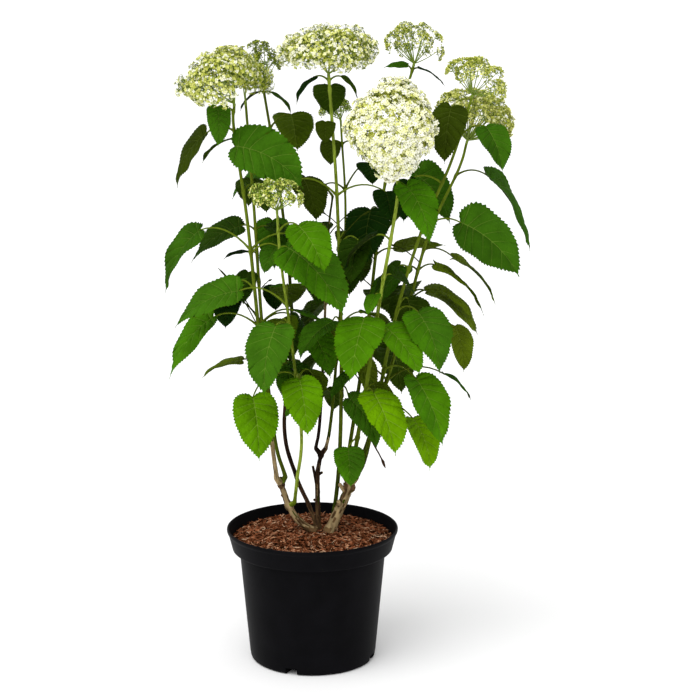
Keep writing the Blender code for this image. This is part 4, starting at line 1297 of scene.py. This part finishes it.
def add_buds(pile, places, outs, sizes, tones, rng):
    """Closed buds at many places."""
    template, faces = bud_template()
    stamps(pile, template, faces, places, frames_of(outs, rng), sizes, tones)


def nearest(points, targets):
    """For each point, the number of the target nearest to it."""
    return np.argmin(((points[:, None] - targets[None]) ** 2).sum(-1), axis=1)


def add_rays(pile, cane, line, coarse, fine, thick=1.0):
    """Rays from the hub to the coarse points, and on from each to the fine points near it."""
    hub, ahead, axis = head_frame(cane, line)[:3]
    fork = hub + unit(ahead + axis) * FORK_REACH
    reach = np.linalg.norm(coarse - fork, axis=1)[:, None]
    crests = fork + (coarse - fork) * 0.5 - axis * 0.12 * reach
    feet = np.repeat(fork[None] - axis * 2, len(coarse), 0)
    rods(pile, arcs(feet, crests, coarse, 7), np.linspace(1.15, 0.7, 7) * thick, 6, RAY)
    carrier = coarse[nearest(fine, coarse)]
    crests = (carrier + fine) / 2 - axis * 0.10 * np.linalg.norm(fine - carrier, axis=1)[:, None]
    rods(pile, arcs(carrier, crests, fine, 4), np.linspace(0.55, 0.36, 4) * thick, 4, RAY)
    neck = [line[-1] - ahead * 3, hub, fork + axis * 2]
    rods(pile, [neck], [cane.tip_radius, cane.tip_radius * 1.15, 1.3], 10, RAY)


def lumps(points, seed):
    """A smooth uneven pattern through space, from about -1 to 1, with lumps of about 2 cm."""
    x, y, z = points.T / 6.5
    return (np.sin(x + 0.6 * z + seed) * np.sin(y - 0.4 * x + 2 * seed) + np.sin(z * 1.1 + 0.7 * y + 3 * seed)
            + 0.6 * np.sin(1.9 * x - 1.3 * z + seed) * np.sin(2.1 * y + z)) / 1.9


def fitted(points, cane, line, bloom):
    """Points of a full dome drawn in to the head's own outline, and narrower at its front and back."""
    hub, _, axis, side, across = head_frame(cane, line)
    away = points - hub - axis * cane.head.height * 0.5
    ends = 0.16 + np.clip(np.abs(away @ across) / (cane.head.depth / 2), 0, 1) ** 1.5
    moved = points + side * (bloom.taper * ends * (TAPER_CENTRE - away @ side))[:, None]
    whole = dome_points(cane, line, 12, 1, FULL_BELOW)[0]
    middle = (whole.min(axis=0) + whole.max(axis=0)) / 2
    half = whole.max(axis=0) - middle
    reach = moved[:, 0] - middle[0]
    level = (moved[:, 2] - middle[2]) / half[2]
    levels, left, right = np.array(bloom.shape).T
    share = np.where(reach < 0, np.interp(level, levels, left), np.interp(level, levels, right))
    hang, place = bloom.sag
    sag = hang * np.exp(-(((reach / half[0] - place) / SAG_SPREAD) ** 2)) * np.clip(0.4 - 1.5 * level, 0, 1)
    return moved + ((share - 1) * reach)[:, None] * np.array([1, 0, 0]) - sag[:, None] * UP


def add_dense_head(name, cane, line, rng):
    """A full dome of small clusters of florets, with greener buds between and below them; the darkest of
    these buds are painted shade in the gaps between the clusters.
    """
    bloom = BLOOMS[name]
    florets, stalks = Pile(), Pile()
    centres, outs = dome_points(cane, line, bloom.spacing, CLUSTER_SHARE, FULL_BELOW)
    centres = fitted(centres + rng.normal(0, 1.4, centres.shape), cane, line, bloom)
    centres = centres + outs * (bloom.lumps * lumps(centres, len(name)))[:, None]
    lows = centres - outs * CLUSTER_STALK
    forks = dome_points(cane, line, FORK_SPACING, FORK_SHARE)[0]
    add_rays(stalks, cane, line, fitted(forks, cane, line, bloom), lows)
    places, ways = around(centres, outs, bloom.florets, bloom.spacing * CLUSTER_SPREAD, 3.0, rng)
    count = len(places)
    towards = way(0, bloom.far_way)
    flat = (places - head_frame(cane, line)[0] - UP * cane.head.height * 0.5) @ towards
    far = rng.random(count) < 0.5 + 0.9 * flat / cane.head.width + 0.25 * lumps(places * 0.6, 5)
    near_tones, far_tones = picked(bloom.near, count, rng), picked(bloom.far, count, rng)
    sizes = rng.uniform(*bloom.size, count)
    add_florets(florets, places, ways, sizes, np.where(far, far_tones, near_tones), rng)
    rods(stalks, np.stack([np.repeat(lows, bloom.florets, axis=0), places], 1), (0.28, 0.22), 3, RAY)
    # Inner layers: paler florets, then greener buds whose darkest tone, moss, is painted shade deep between
    # the clusters.
    layers = (
        (0.80, add_florets, bloom.size, (PALE_LIME, PALE_LIME, LIME)),
        (0.66, add_buds, (1.0, 2.0), (GREEN_LIME, LIME, MOSS)),
    )
    for share, add, size, tones in layers:
        inner, inner_outs = dome_points(cane, line, bloom.spacing * 0.9, share, CORE_BELOW)
        places, ways = around(fitted(inner, cane, line, bloom), inner_outs, 5, 6, 2.5, rng)
        tints = picked(tones, len(places), rng)
        add(florets, places, ways, rng.uniform(*size, len(places)), tints, rng)
    florets.make(name + "_florets", petal_paints_made, "cream_florets", (name + "_flower_head",))
    stalks.make(name + "_head_rays", petal_paints_made, "lime_florets")


def add_airy_head(name, cane, line, rng):
    """Rays that part again and again, each end with a small bunch of buds and a few florets."""
    spray = SPRAYS[name]
    buds, stalks = Pile(), Pile()
    centres, outs = dome_points(cane, line, spray.spacing, OUTER_SHARE)
    inner, inner_outs = dome_points(cane, line, spray.spacing, INNER_SHARE)
    centres = fitted(np.vstack([centres - outs * OUTER_DROP, inner]), cane, line, spray)
    outs = np.vstack([outs, inner_outs])
    twigs, ways = around(centres, outs, spray.twigs, spray.spacing * TWIG_SPREAD, TWIG_RISE, rng)
    add_rays(stalks, cane, line, centres, twigs, THIN_RAYS)
    places, bud_ways = around(twigs, ways, spray.buds, spray.spread, BUD_RISE, rng)
    rods(stalks, np.stack([np.repeat(twigs, spray.buds, 0), places], 1), (0.2, 0.14), 3, RAY)
    tones = picked(spray.tones, len(places), rng)
    sizes = rng.uniform(0.7, 1.3, len(places)) * spray.bud_size
    add_buds(buds, places, bud_ways, sizes, tones, rng)
    open_count = round(spray.florets * len(twigs))
    if open_count:
        some = rng.permutation(len(places))[:open_count]
        tones = rng.choice([CREAM, PALE_LIME, PALE_LIME, LIME], open_count)
        add_florets(buds, places[some] + bud_ways[some] * 0.8, bud_ways[some],
                    rng.uniform(1.6, 2.5, open_count), tones, rng)
    buds.make(name + "_buds", petal_paints_made, "lime_florets", (name + "_flower_head",))
    stalks.make(name + "_head_rays", petal_paints_made, "lime_florets")


# Pot and soil

POT_STEP = 1.8
SHARP_EDGE = 40


def wall_radius(height):
    """The inner radius of the pot's body and rim at a height."""
    if height <= BAND_FOOT:
        outer = BASE_RADIUS + (BODY_TOP_RADIUS - BASE_RADIUS) * height / BAND_FOOT
    else:
        outer = BAND_FOOT_RADIUS + (RIM_RADIUS - BAND_FOOT_RADIUS) * (height - BAND_FOOT) / RIM_BAND
    return outer - WALL


def from_corner(radius, height, *steps):
    """Points of the profile as steps out and up from one corner of the pot."""
    return [(radius + out, height + up) for out, up in steps]


def pot_profile():
    """Radius and height from the middle of the base, over the rim and down the inner wall."""
    return [
        (0.5, 0),
        *from_corner(BASE_RADIUS, 0, (-6, 0), (-4, 0), (-2, 0.7), (-0.8, 2.2), (0, 4.5), (0.4, 7.9)),
        *[(BASE_RADIUS + (BODY_TOP_RADIUS - BASE_RADIUS) * z / (BAND_FOOT - 2), z)
          for z in range(10, BAND_FOOT - 4, 12)],
        *from_corner(BODY_TOP_RADIUS, BAND_FOOT, (-0.3, -3), (0.6, -1.4)),
        *from_corner(BAND_FOOT_RADIUS, BAND_FOOT, (-3, -0.6), (-1, 0), (0, 1), (0.5, 3)),
        *from_corner(RIM_RADIUS, POT_HEIGHT, (-2.6, -9), (-2.1, -7), (-0.8, -6), (-0.2, -4), (0, -2.5),
                     (-0.4, -0.8), (-1.2, 0), (-2.4, -0.3), (-3.2, -1.6), (-3.6, -5)),
        *[(wall_radius(z), z) for z in (BAND_FOOT + 8, BAND_FOOT, BAND_FOOT - 40)],
    ]


def make_pot():
    """The moulded pot: smooth body, stepped band, rolled rim and notches in the foot."""
    edge = math.degrees(math.asin(NOTCH_WIDTH / 2 / BASE_RADIUS))
    notches = [FIRST_NOTCH_HEADING + k * 360 / NOTCHES for k in range(NOTCHES)]
    sides = [n + s * (edge + d) for n in notches for s in (-1, 1) for d in (-0.15, 0.15)]
    angles = np.radians(np.sort(np.concatenate([np.arange(0, 360, POT_STEP), np.array(sides) % 360])))
    radius, height = (np.array(column, float)[:, None] for column in zip(*pot_profile()))
    away = np.min([np.abs((np.degrees(angles) - n + 180) % 360 - 180) for n in notches], axis=0)
    inside = (away <= edge)[None] & (height <= NOTCH_HEIGHT) & (radius > BASE_RADIUS - NOTCH_DEPTH)
    radius = np.where(inside, BASE_RADIUS - NOTCH_DEPTH, radius)
    height = np.broadcast_to(height, radius.shape)
    pile = Pile()
    pile.add(np.stack([radius * np.cos(angles), radius * np.sin(angles), height], -1),
             ring_faces(*radius.shape), 0)
    black = paint("pot_black", (0.0028, 0.0027, 0.0034), 0.5, 0.03, 0.25, 30, 0.12, 1500)
    pot = pile.make("pot_shell", [black], "pot_plastic", ("pot",))
    pot.data.set_sharp_from_angle(angle=math.radians(SHARP_EDGE))


# The first tone is near black: the compost's dark colour, with painted shade of the gaps between strands.
SOIL = (
    (0.018, 0.005, 0.001), (0.150, 0.046, 0.017), (0.34, 0.118, 0.052), (0.52, 0.26, 0.14),
    (0.68, 0.44, 0.28),
)
# The mound is flat to a distance from the middle, and then falls off towards the wall.
MOUND_FLAT, MOUND_SPAN, MOUND_FALL = 25, 95, 9.5
BUMP_HEIGHT = 1.1
GROUND_DEPTH = 2.0
GROUND_CRUMBS = 0.8
GROUND_RINGS = 70
GROUND_SIDES = 150
STRANDS = 4300
STRAND_STEPS = 5
CHIPS = 900
CHIP = ((-1, -.6, -.25), (.9, -.7, -.25), (1.1, .5, -.25), (-.8, .7, -.25),
        (-.8, -.5, .3), (.7, -.5, .22), (.8, .45, .3), (-.7, .5, .2))
CHIP_FACES = ((0, 1, 5), (0, 5, 4), (1, 2, 6), (1, 6, 5), (2, 3, 7), (2, 7, 6), (3, 0, 4), (3, 4, 7),
              (4, 5, 6), (4, 6, 7), (0, 3, 2), (0, 2, 1))


def soil_height(x, y):
    """The mounded, uneven top of the compost."""
    reach = np.hypot(x, y)
    mound = SOIL_TOP - MOUND_FALL * np.clip((reach - MOUND_FLAT) / MOUND_SPAN, 0, 1) ** 1.6
    bumps = (np.sin(x * 0.19 + 1.3) * np.sin(y * 0.23 + 0.4) + 0.7 * np.sin(x * 0.47 - y * 0.31)
             + 0.5 * np.sin(x * 0.83 + y * 0.71 + 2) * np.sin(y * 1.1 - x * 0.2))
    return mound + BUMP_HEIGHT * bumps


def scattered(reach, count, rng):
    """Places spread evenly over a disc, by chance."""
    radius = reach * np.sqrt(rng.random(count))
    turn = rng.uniform(0, math.tau, count)
    return radius * np.cos(turn), radius * np.sin(turn)


def make_ground(paints, edge, rng):
    """The crumbly surface of the compost, mostly in the near-black tone, which is the compost's own dark
    colour and painted shade of the gaps under the fibres.
    """
    reach = np.linspace(0.3, edge, GROUND_RINGS)[:, None]
    angle = np.linspace(0, math.tau, GROUND_SIDES, endpoint=False)[None]
    x, y = reach * np.cos(angle), reach * np.sin(angle)
    z = soil_height(x, y) - GROUND_DEPTH + rng.uniform(-GROUND_CRUMBS, GROUND_CRUMBS, x.shape)
    faces = ring_faces(GROUND_RINGS, GROUND_SIDES)[:, ::-1]
    ground = Pile()
    ground.add(np.stack([x, y, z], -1), faces, rng.choice([0, 0, 0, 0, 1, 1], len(faces)))
    ground.make("compost", paints, "compost", ("soil",))


def make_strands(paints, edge, rng):
    """Bent strands of fibre that lie on the compost and reach no further than the wall."""
    mid_x, mid_y = scattered(edge - 4, STRANDS, rng)
    heading = rng.uniform(0, math.tau, STRANDS)[:, None]
    length = rng.gamma(3.0, 3.2, STRANDS).clip(4, 26)[:, None]
    t = np.linspace(-0.5, 0.5, STRAND_STEPS)
    angle = heading + rng.normal(0, 0.5, STRANDS)[:, None] * t
    x, y = (
        middle[:, None] + np.cumsum(step, 1) - step.sum(1, keepdims=True) / 2
        for middle, step in ((mid_x, np.cos(angle) * length / STRAND_STEPS),
                             (mid_y, np.sin(angle) * length / STRAND_STEPS))
    )
    over = np.maximum(np.hypot(x, y).max(1) / (edge - 1), 1)[:, None]
    x, y = x / over, y / over
    tilt = rng.normal(0, 0.16, STRANDS)[:, None] * t * length
    z = soil_height(x, y) + rng.uniform(-1.6, 1.4, STRANDS)[:, None] + np.abs(tilt) * 0.9
    thick = rng.uniform(0.35, 0.95, STRANDS)[:, None] * np.array([0.55, 1, 1.05, 0.9, 0.4])
    tones = rng.choice([0, 1, 1, 1, 2, 2, 2, 3, 4], STRANDS, p=[.20, .12, .12, .11, .10, .09, .08, .13, .05])
    strands = Pile()
    rods(strands, np.stack([x, y, z], -1), thick, 4, tones)
    strands.make("compost_fibres", paints, "compost")


def make_chips(paints, edge, rng):
    """Small chips of bark on the compost."""
    x, y = scattered(edge - 5, CHIPS, rng)
    places = np.stack([x, y, soil_height(x, y) - 0.6], -1)
    outs = units(UP + rng.normal(0, 0.4, (CHIPS, 3)))
    chips = Pile()
    stamps(chips, np.array(CHIP), np.array(CHIP_FACES), places, frames_of(outs, rng),
           rng.uniform(1.2, 3.4, CHIPS), rng.choice([0, 1, 1, 2, 2, 3], CHIPS))
    chips.make("compost_chips", paints, "compost", smooth=False)


def make_soil(rng):
    """The compost as three pieces: its surface, strands of fibre and chips of bark."""
    paints = [paint(f"compost_{k}", c, 0.9, 0.02, 0.35, 300, 0.6, 1500) for k, c in enumerate(SOIL)]
    edge = wall_radius(SOIL_TOP - 9) - 0.4
    for make in (make_ground, make_strands, make_chips):
        make(paints, edge, rng)


# Studio

PHOTO_WIDTH = 696
FOCAL_PIXELS = 1800
SENSOR = 36
CAMERA_PLACE = (0.054, -2.628, 1.015)
CAMERA_TILT = 78.5
VIEW_REACH = 400
FLOOR_REACH = 150
FLOOR_DROP = 0.0005
SUN_HEADING = 235
SUN_PITCH = 52
SUN_SPREAD = 60
SUN_STRENGTH = 1.8
SURROUND_STRENGTH = 0.85

SOIL_SEED = 3
LOOK_SEED = 11
FIRST_HEAD_SEED = 20


def add_object(name, data):
    added = bpy.data.objects.new(name, data)
    bpy.context.scene.collection.objects.link(added)
    return added


def make_light():
    """A white surround and one wide soft sun from the front left."""
    world = bpy.data.worlds.new("studio")
    world.use_nodes = True
    background = world.node_tree.nodes["Background"]
    background.inputs["Color"].default_value = (1, 1, 1, 1)
    background.inputs["Strength"].default_value = SURROUND_STRENGTH
    bpy.context.scene.world = world
    bpy.context.scene.view_settings.view_transform = "Standard"
    sun = bpy.data.lights.new("key", "SUN")
    sun.energy = SUN_STRENGTH
    sun.angle = math.radians(SUN_SPREAD)
    light = add_object("key", sun)
    light.rotation_euler = (math.radians(90 - SUN_PITCH), 0, math.radians(SUN_HEADING + 90))


def make_floor():
    """A wide pale floor just under the pot."""
    mesh = bpy.data.meshes.new("floor")
    corners = [(x * FLOOR_REACH, y * FLOOR_REACH, 0) for x, y in ((-1, -1), (1, -1), (1, 1), (-1, 1))]
    mesh.from_pydata(corners, [], [(0, 1, 2, 3)])
    mesh.materials.append(paint("floor_pale", (0.95, 0.95, 0.95), 0.9, 0.1))
    floor = add_object("floor", mesh)
    floor.location = (0, 0, -FLOOR_DROP)


def make_camera():
    """The camera of the photograph."""
    data = bpy.data.cameras.new("camera")
    data.lens = FOCAL_PIXELS / PHOTO_WIDTH * SENSOR
    data.sensor_width = SENSOR
    data.clip_end = VIEW_REACH
    camera = add_object("camera", data)
    camera.location = CAMERA_PLACE
    camera.rotation_euler = (math.radians(CAMERA_TILT), 0, 0)
    bpy.context.scene.camera = camera


bark_paints_made = bark_paints()
leaf_paints_made = leaf_paints()
petal_paints_made = [paint(f"petal_{k}", c, 0.6, 0.2, 0.06, 200) for k, c in enumerate(PETALS)]

make_light()
make_floor()
make_camera()
make_pot()
make_soil(np.random.default_rng(SOIL_SEED))
space = Space()
lines = {name: cane_line(cane) for name, cane in CANES.items()}
for name, cane in CANES.items():
    space.add(name, tube(lines[name], cane_radii(cane, lines[name]), CANE_SIDES))
    if cane.head:
        space.add(name + "_head", head_shell(cane, lines[name]))
grown = grow_leaves(space, lines)
look_chance = random.Random(LOOK_SEED)
patterns = [Blade(np.random.default_rng(seed)) for seed in range(BLADE_PATTERNS)]
for name, stem in STEMS.items():
    add_stem(name, stem, look_chance)
for index, (name, cane) in enumerate(CANES.items()):
    add_cane(name, cane, look_chance)
    add_foliage(name, grown[name], lines[name], patterns, look_chance)
    if cane.head:
        add_head = add_dense_head if cane.head.kind == "dense" else add_airy_head
        add_head(name, cane, lines[name], np.random.default_rng(FIRST_HEAD_SEED + index))
